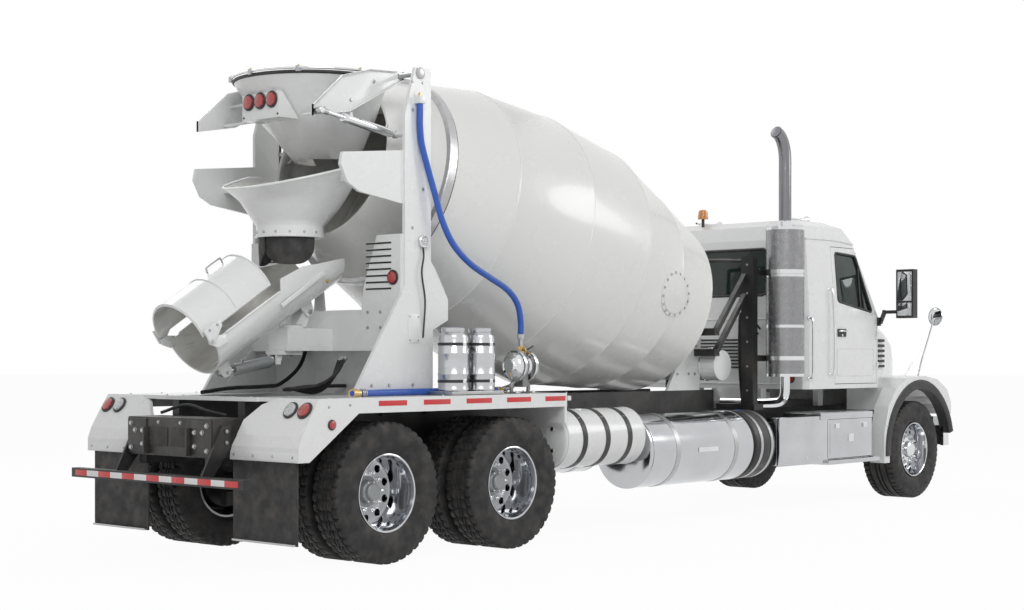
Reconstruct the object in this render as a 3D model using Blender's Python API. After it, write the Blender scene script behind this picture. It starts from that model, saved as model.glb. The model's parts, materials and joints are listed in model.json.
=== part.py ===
"""Rear-discharge concrete mixer truck, three axles, metres, +X forward, +Y left, +Z up.

Stations along the truck are measured from the rearmost axle.  The empty called truck_origin
moves them so that the origin lies on the ground under the middle of the truck's outline.
"""

import math

import bmesh
import bpy
from mathutils import Matrix, Vector

# ------------------------------------------------------------------ clearances
SEAT = 0.0003  # two faces that touch
RUN = 0.006  # round a door or another moving edge
SIDES = {"right": -1.0, "left": 1.0}

# ------------------------------------------------------------------ overall
TAIL_X = -1.20  # rear face of the underride bar
NOSE_X = 8.75  # front face of the bumper
HALF_WIDTH = 1.25  # outside of the rear fenders

# ------------------------------------------------------------------ wheels
TYRE_R = 0.52
TYRE_SIDES = 24
BEAD_R = 0.284
REAR_AXLES = {"forward": 1.372, "rearmost": 0.0}
FRONT_AXLE_X = 7.872
DUAL_TYRE_WIDTH = 0.28
DUAL_SPACING = 0.33
DUAL_OUTER_Y = 1.08  # middle of the outer tyre
FRONT_TYRE_WIDTH = 0.385
FRONT_TYRE_Y = 1.008
KINGPIN_Y = 0.85
RIM_WALL = 0.014
RIM_LIP = 0.02  # rim edge inside the tyre's own width
HUB_R = 0.115
DUAL_HUB_Y = 0.66  # inner face of the hub
FRONT_HUB_Y = 1.0
AXLE_Z = TYRE_R  # the lowest facet of a tyre lies on the ground

# ------------------------------------------------------------------ chassis
RAIL_Y = (0.35, 0.43)
RAIL_Z = (0.72, 0.99)
RAIL_X = (-1.00, 8.45)
SUBFRAME_TOP = 1.19
SUBFRAME_X = (-0.70, 5.20)
HITCH = {"x": (-1.05, -0.75), "y": 0.50, "z": (0.79, 1.07)}
AXLE_TUBE_R = 0.07
DIFF_R = 0.20

# ------------------------------------------------------------------ fenders
DECK_TOP = 1.22
DECK_THICK = 0.028
DECK_X = (-0.71, 1.97)
DECK_INNER_Y = 0.44
FENDER_RAIL_BOTTOM = 1.11
SHEET = 0.03
FLAP_Y = (0.506, 1.20)
FLAP_Z = 0.20

# ------------------------------------------------------------------ drum
DRUM_TILT = math.radians(14.65)
DRUM_RIM = Vector((4.537, 0.0, 2.028))  # middle of the front head's rim
DRUM_WALL = 0.02
MOUTH_S = 4.15
MOUTH_R = 0.63
TRACK_S = 3.652
TRACK_R = 0.885
TRACK_WIDTH = 0.09
DRUM_SIDES = 32
ROLLER_R = 0.125
ROLLER_WIDTH = 0.10
ROLLER_ANGLE = math.radians(33)
ROLLER_EAR_X = 0.105  # from the roller's middle to the inner face of each ear

# ------------------------------------------------------------------ cab
CAB_X = (5.92, 7.36)
CAB_HALF = 1.05
CAB_FLOOR = 1.19
CAB_TOP = 2.90
CAB_WALL = 0.05
BELT_Z = 1.95
DOOR_HINGE = (7.287, CAB_HALF + 0.010)
DOOR_HINGE_R = 0.0093
DOOR_HINGES_Z = (1.42, 1.74)
GLASS = (0.014, 0.024)  # depth of its two faces below the cab's skin
WINDSHIELD = {"y": 0.86, "z": (2.03, 2.64)}
REAR_WINDOW = {"y": 0.57, "z": (2.14, 2.61)}
HOOD_HINGE = Vector((8.60, 0.0, 0.87))
ARCH_R = 0.66

# ------------------------------------------------------------------ discharge end
POST_Y = 0.90
POST_THICK = 0.03
SPOUT = Vector((0.10, 0.0, 2.50))
SPOUT_R = 0.265
FUNNEL_WALL = 0.014
CHUTE_SLOPE = math.radians(32)
CHUTE_END = Vector((-0.85, 0.0, 1.62))  # middle of the rim line at the lower end
CHUTE_LENGTH = 1.40
CHUTE_R = (0.27, 0.32)  # outside radius at the lower and the upper end
CHUTE_WALL = 0.012
LIFT_HINGE = (1.04, -0.36)  # along and square to the chute's rim line
RAM_PIN = (0.129, -0.345)
FOLD_HINGE = (-0.04, 0.033)
TONGUE_HALF = 0.072
FOLD_SPAN = (-0.07, 0.68)
FOLD_RISE = 0.085
FOLD_EAR_Y = (0.276, 0.290)
SWIVEL_X = SPOUT.x
BEAM_Z = (1.56, 1.735)
BEAM_X = (-0.02, 0.46)
SWIVEL_SHAFT_R = 0.045
RAM_EAR_Y = (0.034, 0.05)  # the ears either side of a ram's eye
RAM_FOOT = Vector((-0.06, 0.0, 1.485))
HOPPER_HINGE = Vector((0.63, 0.0, 3.69))
HOPPER_CLIP_X = 0.59
RAM_BORE_START = 0.068
RAM_ROD_START = 0.096
HOPPER_RAM_FOOT = Vector((0.52, -0.74, 3.22))
HOPPER_RAM_EYE = Vector((-0.24, -0.74, 3.33))
HOPPER_RAM_LUG = 0.02  # half width of its eyes

# ---------------------------------------------------------- colours: base colour, metallic, roughness
PAINTS = {
    "white_paint": ((0.86, 0.87, 0.86), 0.0, 0.28),
    "black_paint": ((0.02, 0.02, 0.022), 0.0, 0.5),
    "rubber": ((0.025, 0.025, 0.027), 0.0, 0.75),
    "polished": ((0.78, 0.79, 0.80), 1.0, 0.16),
    "steel": ((0.45, 0.46, 0.47), 1.0, 0.35),
    "glass": ((0.20, 0.26, 0.25), 0.0, 0.05),
    "blue_hose": ((0.05, 0.20, 0.62), 0.0, 0.45),
    "grey_trim": ((0.16, 0.16, 0.17), 0.0, 0.7),
    "grey_paint": ((0.42, 0.44, 0.45), 0.0, 0.4),
}


# ================================================================== scene and placing
def clear_scene():
    for item in list(bpy.data.objects):
        bpy.data.objects.remove(item, do_unlink=True)


def material(name):
    found = bpy.data.materials.get(name)
    if found:
        return found
    colour, metallic, roughness = PAINTS[name]
    made = bpy.data.materials.new(name)
    made.use_nodes = True
    shader = made.node_tree.nodes["Principled BSDF"]
    shader.inputs["Base Color"].default_value = (*colour, 1.0)
    shader.inputs["Metallic"].default_value = metallic
    shader.inputs["Roughness"].default_value = roughness
    return made


def empty(name, location, parent=None):
    made = bpy.data.objects.new(name, None)
    made.location = location
    made.parent = parent
    bpy.context.scene.collection.objects.link(made)
    return made


def solid_object(name, mesh):
    made = bpy.data.objects.new(name, mesh)
    bpy.context.scene.collection.objects.link(made)
    return made


def finish(piece, name, paint, parent, pivot=(0.0, 0.0, 0.0), smooth=30):
    """Name a solid, move its origin to its pivot and hang it on its parent."""
    piece.name = name
    piece.data.name = name
    piece.data.transform(Matrix.Translation(-Vector(pivot)))
    piece.location = pivot
    piece.parent = parent
    piece.data.materials.clear()
    piece.data.materials.append(material(paint))
    piece.data.shade_smooth()
    piece.data.set_sharp_from_angle(angle=math.radians(smooth))
    return piece


# ================================================================== plain solids
def from_rings(rings, capped=True):
    """A closed solid through rings of as many points each, with its two ends closed."""
    shape = bmesh.new()
    rows = [[shape.verts.new(point) for point in ring] for ring in rings]
    count = len(rows[0])
    for lower, upper in zip(rows, rows[1:]):
        for i in range(count):
            j = (i + 1) % count
            shape.faces.new((lower[i], lower[j], upper[j], upper[i]))
    if capped:
        shape.faces.new(reversed(rows[0]))
        shape.faces.new(rows[-1])
    else:
        for i in range(count):
            j = (i + 1) % count
            shape.faces.new((rows[-1][i], rows[-1][j], rows[0][j], rows[0][i]))
    return closed(shape)


def closed(shape):
    bmesh.ops.recalc_face_normals(shape, faces=shape.faces)
    mesh = bpy.data.meshes.new("solid")
    shape.to_mesh(mesh)
    shape.free()
    return solid_object("solid", mesh)


def box(x, y, z):
    (x0, x1), (y0, y1), (z0, z1) = sorted(x), sorted(y), sorted(z)
    plan = [(x0, y0), (x1, y0), (x1, y1), (x0, y1)]
    return from_rings([[(px, py, height) for px, py in plan] for height in (z0, z1)])


def side_plate(outline, y):
    """An outline in X and Z, made thick across the truck."""
    return from_rings([[(px, across, pz) for px, pz in outline] for across in sorted(y)])


def cross_plate(outline, x):
    """An outline in Y and Z, made thick along the truck."""
    return from_rings([[(along, py, pz) for py, pz in outline] for along in sorted(x)])


def flat_plate(outline, z):
    """An outline in X and Y, made thick upwards."""
    return from_rings([[(px, py, height) for px, py in outline] for height in sorted(z)])


def frame_of(direction):
    """Two unit vectors square to a direction."""
    along = Vector(direction).normalized()
    helper = Vector((0, 0, 1)) if abs(along.z) < 0.9 else Vector((1, 0, 0))
    first = helper.cross(along).normalized()
    return along, first, along.cross(first)


def turned(profile, start, direction, sides=TYRE_SIDES):
    """Turn a closed profile of (distance along, radius) about an axis; radius 0 is a pole.

    A facet, not a corner, faces straight down, so that a wheel rests flat.
    """
    along, first, second = frame_of(direction)
    start = Vector(start)
    shape = bmesh.new()
    flat = 1.0 / math.cos(math.pi / sides)
    rows = []
    for distance, radius in profile:
        if radius == 0.0:
            rows.append([shape.verts.new(start + along * distance)])
            continue
        row = []
        for k in range(sides):
            angle = math.tau * (k + 0.5) / sides
            spoke = first * math.cos(angle) + second * math.sin(angle)
            row.append(shape.verts.new(start + along * distance + spoke * radius * flat))
        rows.append(row)
    for lower, upper in zip(rows, rows[1:] + rows[:1]):
        if len(lower) == len(upper) == 1:
            continue
        for k in range(sides):
            j = (k + 1) % sides
            near, far = lower[k % len(lower)], upper[k % len(upper)]
            corners = (near, lower[j % len(lower)], upper[j % len(upper)], far)
            shape.faces.new(dict.fromkeys(corners))
    return closed(shape)


def rod(start, end, radius, sides=12):
    start, end = Vector(start), Vector(end)
    length = (end - start).length
    return turned([(0, 0.0), (0, radius), (length, radius), (length, 0.0)], start, end - start, sides)


def bent_bar(points, radius, sides=12):
    """A round bar along a few points."""
    points = [Vector(point) for point in points]
    rings = []
    _, first, _ = frame_of(points[1] - points[0])
    for i, point in enumerate(points):
        ahead = points[min(i + 1, len(points) - 1)]
        behind = points[max(i - 1, 0)]
        along = (ahead - behind).normalized()
        first = (first - along * first.dot(along)).normalized()
        second = along.cross(first)
        ring = []
        for k in range(sides):
            angle = math.tau * k / sides
            ring.append(point + (first * math.cos(angle) + second * math.sin(angle)) * radius)
        rings.append(ring)
    return from_rings(rings)


def combine(base, tool, operation):
    modifier = base.modifiers.new(operation.lower(), "BOOLEAN")
    modifier.operation = operation
    modifier.object = tool
    modifier.solver = "EXACT"
    bpy.context.view_layer.update()
    result = bpy.data.meshes.new_from_object(base.evaluated_get(bpy.context.evaluated_depsgraph_get()))
    base.modifiers.clear()
    base.data = result
    bpy.data.objects.remove(tool, do_unlink=True)
    return base


def joined(solids):
    base, *others = solids
    for other in others:
        combine(base, other, "UNION")
    return base


def cut(base, *tools):
    for tool in tools:
        combine(base, tool, "DIFFERENCE")
    return base


def inset(outline, by):
    """Move each edge of a convex outline inwards."""
    area = sum(a[0] * b[1] - b[0] * a[1] for a, b in zip(outline, outline[1:] + outline[:1]))
    turn = 1.0 if area > 0 else -1.0
    edges = []
    for a, b in zip(outline, outline[1:] + outline[:1]):
        along = Vector((b[0] - a[0], b[1] - a[1])).normalized()
        inwards = Vector((-along.y, along.x)) * turn
        edges.append((Vector(a) + inwards * by, along))
    corners = []
    for (p, d), (q, e) in zip(edges[-1:] + edges[:-1], edges):
        reach = (q - p).cross(e) / d.cross(e)
        corners.append(tuple(p + d * reach))
    return corners


def arc(centre, radius, start, end, steps):
    """Points on an arc in a plane, angles in degrees."""
    turn = [math.radians(start + (end - start) * i / steps) for i in range(steps + 1)]
    return [(centre[0] + radius * math.cos(a), centre[1] + radius * math.sin(a)) for a in turn]


def across(side, near, far):
    return (side * near, side * far)


# ================================================================== wheels and axles
def tyre_outline(middle, width, side):
    """Outer outline of a tyre from its inner to its outer bead: distance across, radius."""
    half = width / 2
    # columns: share of the half width, radius
    steps = [(-0.86, 0.300), (-1.0, 0.405), (-0.94, 0.485), (-0.80, TYRE_R)]
    outline = [(middle + share * half, radius) for share, radius in steps]
    outline += [(middle - share * half, radius) for share, radius in reversed(steps)]
    return [(distance * side, radius) for distance, radius in outline]


def dual_tyres(side, x):
    inner = DUAL_OUTER_Y - DUAL_SPACING
    sleeve_r = BEAD_R + RIM_WALL
    first = tyre_outline(inner, DUAL_TYRE_WIDTH, 1.0)
    second = tyre_outline(DUAL_OUTER_Y, DUAL_TYRE_WIDTH, 1.0)
    profile = [(first[0][0], BEAD_R)] + first + [(first[-1][0] + 0.012, sleeve_r)]
    profile += [(second[0][0] - 0.012, sleeve_r)] + second + [(second[-1][0], BEAD_R)]
    return turned(profile, (x, 0, AXLE_Z), (0, side, 0))


def dual_rims(side, x):
    inner_edge = DUAL_OUTER_Y - DUAL_SPACING - DUAL_TYRE_WIDTH / 2 + RIM_LIP
    outer_edge = DUAL_OUTER_Y + DUAL_TYRE_WIDTH / 2 - RIM_LIP
    web = DUAL_OUTER_Y - DUAL_SPACING / 2
    outer, inner = BEAD_R - SEAT, BEAD_R - RIM_WALL
    profile = [
        (inner_edge, outer), (outer_edge, outer), (outer_edge, inner), (web + 0.02, inner),
        (web + 0.02, HUB_R), (outer_edge - 0.10, HUB_R - 0.015), (outer_edge - 0.10, 0.0),
        (DUAL_HUB_Y + SEAT, 0.0), (DUAL_HUB_Y + SEAT, HUB_R), (web - 0.02, HUB_R),
        (web - 0.02, inner), (inner_edge, inner),
    ]
    return turned(profile, (x, 0, AXLE_Z), (0, side, 0))


def front_tyre(side):
    outline = tyre_outline(FRONT_TYRE_Y, FRONT_TYRE_WIDTH, 1.0)
    profile = [(outline[0][0], BEAD_R)] + outline + [(outline[-1][0], BEAD_R)]
    return turned(profile, (FRONT_AXLE_X, 0, AXLE_Z), (0, side, 0))


def front_rim(side):
    inner_edge = FRONT_TYRE_Y - FRONT_TYRE_WIDTH / 2 + RIM_LIP
    outer_edge = FRONT_TYRE_Y + FRONT_TYRE_WIDTH / 2 - RIM_LIP
    web = FRONT_HUB_Y + 0.06
    outer, inner = BEAD_R - SEAT, BEAD_R - RIM_WALL
    profile = [
        (inner_edge, outer), (outer_edge, outer), (outer_edge, inner), (web + 0.02, inner),
        (web + 0.03, HUB_R), (outer_edge - 0.03, HUB_R - 0.02), (outer_edge - 0.03, 0.0),
        (FRONT_HUB_Y + SEAT, 0.0), (FRONT_HUB_Y + SEAT, HUB_R), (web - 0.02, HUB_R),
        (web - 0.02, inner), (inner_edge, inner),
    ]
    return turned(profile, (FRONT_AXLE_X, 0, AXLE_Z), (0, side, 0))


def knuckle(side):
    """A fork round the end of the axle beam, with the wheel's spindle."""
    boss = 0.065
    ear = 0.045
    ears = []
    for up in (-1, 1):
        heights = (AXLE_Z + up * (boss + SEAT), AXLE_Z + up * (boss + ear))
        ears.append(box((FRONT_AXLE_X - 0.055, FRONT_AXLE_X + 0.055), across(side, 0.805, 0.94), heights))
    back = box(
        (FRONT_AXLE_X - 0.055, FRONT_AXLE_X + 0.055),
        across(side, 0.912, 0.942),
        (AXLE_Z - boss - ear + 0.001, AXLE_Z + boss + ear - 0.001),
    )
    spindle = rod((FRONT_AXLE_X, side * 0.93, AXLE_Z), (FRONT_AXLE_X, side * FRONT_HUB_Y, AXLE_Z), 0.045)
    return joined([back, *ears, spindle])


def front_axle():
    beam = box((FRONT_AXLE_X - 0.045, FRONT_AXLE_X + 0.045), (-0.81, 0.81), (AXLE_Z - 0.06, AXLE_Z + 0.04))
    solids = [beam]
    for side in SIDES.values():
        foot = (FRONT_AXLE_X, side * KINGPIN_Y, AXLE_Z - 0.065)
        head = (FRONT_AXLE_X, side * KINGPIN_Y, AXLE_Z + 0.065)
        solids.append(rod(foot, head, 0.05))
        top = RAIL_Z[0] - SEAT
        spring = [
            (7.22, top), (7.22, 0.64), (7.70, 0.555), (8.04, 0.555), (8.45, 0.64), (8.45, top),
            (8.38, top), (8.38, 0.68), (8.02, 0.62), (7.72, 0.62), (7.30, 0.68), (7.30, top),
        ]
        solids.append(side_plate(spring, across(side, RAIL_Y[0] + 0.005, RAIL_Y[1] - 0.005)))
    return joined(solids)


def rear_axles():
    """Both drive axles, joined by the shaft between them, and the shaft from the gearbox."""
    solids = []
    for x in REAR_AXLES.values():
        solids.append(rod((x, -DUAL_HUB_Y, AXLE_Z), (x, DUAL_HUB_Y, AXLE_Z), AXLE_TUBE_R))
        bowl = [(-0.17, 0.0), (-0.17, 0.08), (-0.08, DIFF_R), (0.08, DIFF_R), (0.17, 0.08), (0.17, 0.0)]
        solids.append(turned(bowl, (x, 0, AXLE_Z), (0, 1, 0), 16))
    rearmost, forward = REAR_AXLES["rearmost"], REAR_AXLES["forward"]
    solids.append(rod((rearmost, 0, AXLE_Z), (forward, 0, AXLE_Z), 0.045, 10))
    solids.append(rod((forward, 0, AXLE_Z + 0.02), (GEARBOX_X[0] - 0.0035, 0, 0.72), 0.05, 10))
    return joined(solids)


# ================================================================== chassis
GEARBOX_X = (5.62, 7.45)
CROSSMEMBERS = (0.686, 2.40, 3.80, 5.00, 8.38)


def chassis_frame():
    solids = [box(HITCH["x"], (-HITCH["y"], HITCH["y"]), HITCH["z"])]
    for side in SIDES.values():
        solids.append(box(RAIL_X, across(side, *RAIL_Y), RAIL_Z))
        solids.append(box(SUBFRAME_X, across(side, *RAIL_Y), (RAIL_Z[1] - 0.01, SUBFRAME_TOP)))
        middle = (REAR_AXLES["forward"] + REAR_AXLES["rearmost"]) / 2
        beam_top = AXLE_Z - AXLE_TUBE_R - SEAT
        solids.append(box((middle - 0.13, middle + 0.13), across(side, 0.40, 0.56), (beam_top - 0.05, 0.80)))
        span = (-0.14, REAR_AXLES["forward"] + 0.14)
        solids.append(box(span, across(side, 0.48, 0.56), (beam_top - 0.11, beam_top)))
    for x in CROSSMEMBERS:
        solids.append(box((x - 0.04, x + 0.04), (-0.37, 0.37), (0.82, 0.95)))
    return joined(solids)


def engine():
    block = box((7.40, 8.25), (-RAIL_Y[0] + SEAT, RAIL_Y[0] - SEAT), (0.64, 1.55))
    gearbox = box(GEARBOX_X, (-0.20, 0.20), (0.66, 1.05))
    return joined([block, gearbox])


def front_bumper():
    outer = [(8.48, -1.20), (8.62, -1.19), (8.72, -1.00), (NOSE_X, -0.60)]
    outer += [(x, -y) for x, y in reversed(outer)]
    inner = [(8.48, 1.16), (8.60, 1.14), (8.68, 0.97), (8.705, 0.60)]
    inner += [(x, -y) for x, y in reversed(inner)]
    solids = [flat_plate(outer + inner, (0.54, 0.85))]
    for side in SIDES.values():
        solids.append(box((RAIL_X[1] + SEAT, 8.72), across(side, *RAIL_Y), (0.73, 0.83)))
    return joined(solids)


def underride_bar():
    solids = [box((TAIL_X, TAIL_X + 0.07), (-1.02, 1.02), (0.60, 0.67))]
    for side in SIDES.values():
        hanger = [(-1.19, 0.605), (-1.10, 0.605), (-0.905, 0.86), (-0.905, 1.02), (-0.98, 1.02)]
        near = HITCH["y"] + SEAT
        solids.append(side_plate(hanger, across(side, near, near + 0.02)))
    return joined(solids)


def rear_fenders():
    """Deck plates over the tandem, their outer rails, the tail panels and the beam between them."""
    solids = [box((DECK_X[0] - 0.02, DECK_X[0] + 0.06), (-0.60, 0.60), (SUBFRAME_TOP + SEAT, DECK_TOP))]
    deck = (DECK_TOP - DECK_THICK, DECK_TOP)
    outer_face = [
        (-0.71, DECK_TOP), (-0.80, 1.08), (-0.87, 0.96), (-0.90, 0.88), (-0.90, 0.78),
    ]
    for side in SIDES.values():
        solids.append(box(DECK_X, across(side, DECK_INNER_Y, HALF_WIDTH), deck))
        rail = across(side, HALF_WIDTH - 0.035, HALF_WIDTH)
        solids.append(box((-0.34, DECK_X[1]), rail, (FENDER_RAIL_BOTTOM, DECK_TOP - 0.01)))
        cheek = outer_face + [(-0.80, 0.78), (-0.32, 1.12), (-0.32, DECK_TOP)]
        solids.append(side_plate(cheek, across(side, HALF_WIDTH - 0.03, HALF_WIDTH)))
        panel = outer_face + [(x + SHEET, z) for x, z in reversed(outer_face)]
        panel = side_plate(panel, across(side, HITCH["y"] + RUN, HALF_WIDTH - 0.001))
        corner = [
            (0.40, 1.30), (0.86, 1.30), (0.86, 1.24), (0.67, 1.17),
            (0.55, 1.06), (0.55, 0.95), (0.51, 0.82), (0.40, 0.82),
        ]
        cutter = cross_plate([(side * y, z) for y, z in corner], (-1.0, -0.50))
        solids.append(cut(panel, cutter))
        lip_y = across(side, 0.62, HALF_WIDTH - 0.002)
        lip = box((DECK_X[1] - 0.03, DECK_X[1]), lip_y, (0.98, DECK_TOP - 0.012))
        solids.append(lip)
    return joined(solids)


def mud_flap(side):
    front = -0.90 + SHEET + SEAT
    return box((front, front + 0.012), across(side, *FLAP_Y), (FLAP_Z, 0.87))


# ================================================================== tanks and steps
def tank_straps(x_places, side, z, reach):
    """Brackets from the frame rail out to a side tank."""
    return [box((x - 0.04, x + 0.04), across(side, RAIL_Y[1] + SEAT, reach), z) for x in x_places]


def round_tank(x, y, z, radius, dome=0.05):
    length = x[1] - x[0]
    profile = [
        (0, 0.0), (0, radius * 0.55), (dome * 0.45, radius * 0.9), (dome, radius),
        (length - dome, radius), (length - dome * 0.45, radius * 0.9), (length, radius * 0.55), (length, 0.0),
    ]
    return turned(profile, (x[0], y, z), (1, 0, 0), 20)


FUEL = {"x": (3.15, 4.77), "y": 0.89, "z": 0.68, "r": 0.33}
UREA_X = (4.76, 5.14)
WATER = {"x": (2.00, 3.10), "y": 0.97, "z": 0.83, "r": 0.25}


def fuel_tank(side):
    solids = [round_tank(FUEL["x"], side * FUEL["y"], FUEL["z"], FUEL["r"])]
    if side < 0:
        solids.append(round_tank(UREA_X, side * FUEL["y"], FUEL["z"], FUEL["r"] - 0.004, 0.03))
    solids += tank_straps((3.55, 4.45), side, (0.76, 0.90), FUEL["y"] - 0.2)
    return joined(solids)


def water_tank():
    solids = [round_tank(WATER["x"], -WATER["y"], WATER["z"], WATER["r"], 0.04)]
    solids += tank_straps((2.25, 2.85), -1, (0.76, 0.90), WATER["y"] - 0.1)
    return joined(solids)


def side_steps(side):
    """Tool box, skirt and two steps below the cab."""
    solids = [
        box((6.04, 6.90), across(side, 0.80, 1.22), (0.50, 0.90)),
        box((5.90, 6.91), across(side, 0.78, 1.225), (0.89, 0.96)),
        box((6.02, 7.03), across(side, 0.90, 1.24), (0.44, 0.49)),
        box((5.17, 6.06), across(side, 1.12, 1.215), (0.46, 0.93)),
        box((6.10, 6.30), across(side, 0.95, 1.18), (0.46, 0.52)),
        box((6.64, 6.84), across(side, 0.95, 1.18), (0.46, 0.52)),
    ]
    for x in (6.20, 6.75):
        solids.append(box((x - 0.05, x + 0.05), across(side, RAIL_Y[1] + SEAT, 0.85), (0.76, 0.88)))
    solids.append(box((5.25, 5.33), across(side, RAIL_Y[1] + SEAT, 1.14), (0.76, 0.88)))
    return joined(solids)


# ================================================================== cab and hood
def cab_body(depth):
    """The cab's closed outline, set in by a depth all round."""
    # columns: height, rear station, front station, half width
    levels = [
        (CAB_FLOOR, CAB_X[0], CAB_X[1], CAB_HALF),
        (BELT_Z, CAB_X[0], CAB_X[1], CAB_HALF),
        (2.70, 5.94, 6.93, 0.99),
        (2.84, 5.98, 6.82, 0.93),
        (CAB_TOP, 6.08, 6.66, 0.80),
    ]
    rings = []
    for i, (z, rear, front, half) in enumerate(levels):
        height = z + depth if i == 0 else z - depth * i / (len(levels) - 1)
        rear, front, half = rear + depth, front - depth, half - depth
        corner = 0.05
        rings.append([
            (rear + corner, -half, height), (front - corner, -half, height), (front, -half + corner, height),
            (front, half - corner, height), (front - corner, half, height), (rear + corner, half, height),
            (rear, half - corner, height), (rear, -half + corner, height),
        ])
    return from_rings(rings)


def cab_skin():
    return cut(cab_body(0.0), cab_body(CAB_WALL))


def window_block(window, x, gap=0.0):
    low, high = window["z"]
    half = window["y"] - gap
    return box(x, (-half, half), (low + gap, high - gap))


DOOR_OUTLINE = [(6.45, 1.235), (7.29, 1.235), (7.29, 1.93), (6.90, 2.64), (6.45, 2.64)]
DOOR_WINDOW = [(6.53, 2.08), (7.20, 1.98), (6.93, 2.56), (6.53, 2.58)]
SCREEN_X = (6.70, 7.60)
BACKLIGHT_X = (5.70, 6.15)


def cab_shell():
    shell = cab_skin()
    cut(
        shell,
        side_plate(DOOR_OUTLINE, (-1.3, 1.3)),
        window_block(WINDSHIELD, SCREEN_X),
        window_block(REAR_WINDOW, BACKLIGHT_X),
    )
    solids = [shell]
    for side in SIDES.values():
        for x in (6.10, 7.20):
            foot_z = (RAIL_Z[1] + SEAT, CAB_FLOOR + 0.01)
            solids.append(box((x - 0.05, x + 0.05), across(side, 0.36, 0.42), foot_z))
        solids += hinge_halves(side, SEAT / 2, 0.04, 1)
    return joined(solids)


def hinge_halves(side, low, high, way):
    """Barrel and leaf of one half of each door hinge; way is -1 for the door's half."""
    x, y = DOOR_HINGE
    solids = []
    for z in DOOR_HINGES_Z:
        solids.append(rod((x, side * y, z + low), (x, side * y, z + high), DOOR_HINGE_R, 12))
        leaf_z = (z + low + 0.003, z + high - 0.003)
        leaf = box((x, x + way * 0.03), across(side, CAB_HALF - 0.006, y), leaf_z)
        solids.append(leaf)
    return solids


def door(side):
    leaf = combine(cab_skin(), side_plate(inset(DOOR_OUTLINE, RUN), across(side, 0.5, 1.3)), "INTERSECT")
    cut(leaf, side_plate(DOOR_WINDOW, (-1.3, 1.3)))
    return joined([leaf, *hinge_halves(side, -0.04, -SEAT / 2, -1)])


def pane(window, x):
    sheet = cut(cab_body(GLASS[0]), cab_body(GLASS[1]))
    return combine(sheet, window_block(window, x, SEAT), "INTERSECT")


def cab_interior():
    floor = CAB_FLOOR + CAB_WALL + SEAT
    solids = [
        box((6.15, 7.20), (-0.14, 0.14), (floor, 1.42)),
        box((7.02, 7.22), (-0.94, 0.94), (1.55, 1.92)),
        box((7.08, 7.19), (-0.13, 0.13), (1.40, 1.60)),
        box((6.38, 6.58), (-0.40, 0.40), (1.30, 1.38)),
    ]
    for side in SIDES.values():
        solids.append(box((6.30, 6.64), across(side, 0.30, 0.62), (floor, 1.61)))
        solids.append(box((6.24, 6.74), across(side, 0.22, 0.72), (1.60, 1.73)))
        back = [(6.24, 1.70), (6.36, 1.70), (6.25, 2.42), (6.13, 2.42)]
        solids.append(side_plate(back, across(side, 0.24, 0.70)))
    wheel_at = Vector((6.86, 0.47, 1.98))
    column = Vector((0.26, 0.0, -0.20)).normalized()
    solids.append(rod(wheel_at, wheel_at + column * 0.27, 0.03, 10))
    solids.append(turned([(0, 0.0), (0, 0.22), (0.02, 0.22), (0.02, 0.0)], wheel_at, column, 16))
    return joined(solids)


def hood_body(depth, ends):
    """Closed outline of the bonnet between two stations, set in by a depth."""
    # columns: station, half width, bottom, top
    sections = [
        (7.375, 0.93, 1.18, 1.95), (7.85, 0.82, 1.14, 1.88), (8.25, 0.68, 1.02, 1.76),
        (8.47, 0.58, 0.90, 1.60), (8.54, 0.53, 0.90, 1.48),
    ]
    chamfer = 0.12
    rings = []
    for i, (x, half, low, high) in enumerate(sections):
        if i == 0:
            x = ends[0]
        if i == len(sections) - 1:
            x = ends[1]
        half, low, high = half - depth, low - 10 * depth, high - depth
        rings.append([
            (x, -half, low), (x, half, low), (x, half, high - chamfer),
            (x, half - chamfer, high), (x, -half + chamfer, high), (x, -half, high - chamfer),
        ])
    return from_rings(rings)


def hood():
    """Bonnet and front fenders, which tilt forwards together."""
    shell = cut(hood_body(0.0, (7.375, 8.54)), hood_body(0.028, (7.20, 8.51)))
    centre = (FRONT_AXLE_X, AXLE_Z)
    outline = [(7.10, 0.41), (7.10, 0.72), (7.19, 1.00), (7.36, 1.19), (7.60, 1.29), (7.95, 1.31)]
    outline += [(8.25, 1.27), (8.47, 1.16), (8.56, 1.02), (8.56, 0.89)]
    outline += arc(centre, ARCH_R, 34, 180, 12)
    outline.append((centre[0] - ARCH_R, 0.41))
    solids = [shell]
    for side in SIDES.values():
        fender = side_plate(outline, across(side, 0.64, HALF_WIDTH))
        solids.append(cut(fender, box((6.9, 7.376), across(side, 0.5, 1.085), (0.2, 2.0))))
        radius = HOOD_HINGE.z - 0.83 - SEAT
        lug = arc((HOOD_HINGE.x, HOOD_HINGE.z), radius, -150, 60, 8) + [(8.50, 1.02), (8.50, 0.92)]
        solids.append(side_plate(lug, across(side, 0.36, 0.42)))
    return joined(solids)


def mirror(side):
    foot = CAB_HALF + SEAT
    return joined([
        box((7.298, 7.308 + 0.04), across(side, foot, foot + 0.02), (1.84, 1.93)),
        side_plate(
            [(7.30, 1.86), (7.34, 1.86), (7.43, 1.98), (7.40, 2.01)],
            across(side, foot + 0.01, foot + 0.04),
        ),
        box((7.385, 7.425), across(side, foot + 0.012, 1.30), (1.97, 2.005)),
        box((7.36, 7.45), across(side, 1.24, 1.44), (1.92, 2.43)),
    ])


# ================================================================== exhaust
STACK = Vector((5.68, -0.95, 0.0))


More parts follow.
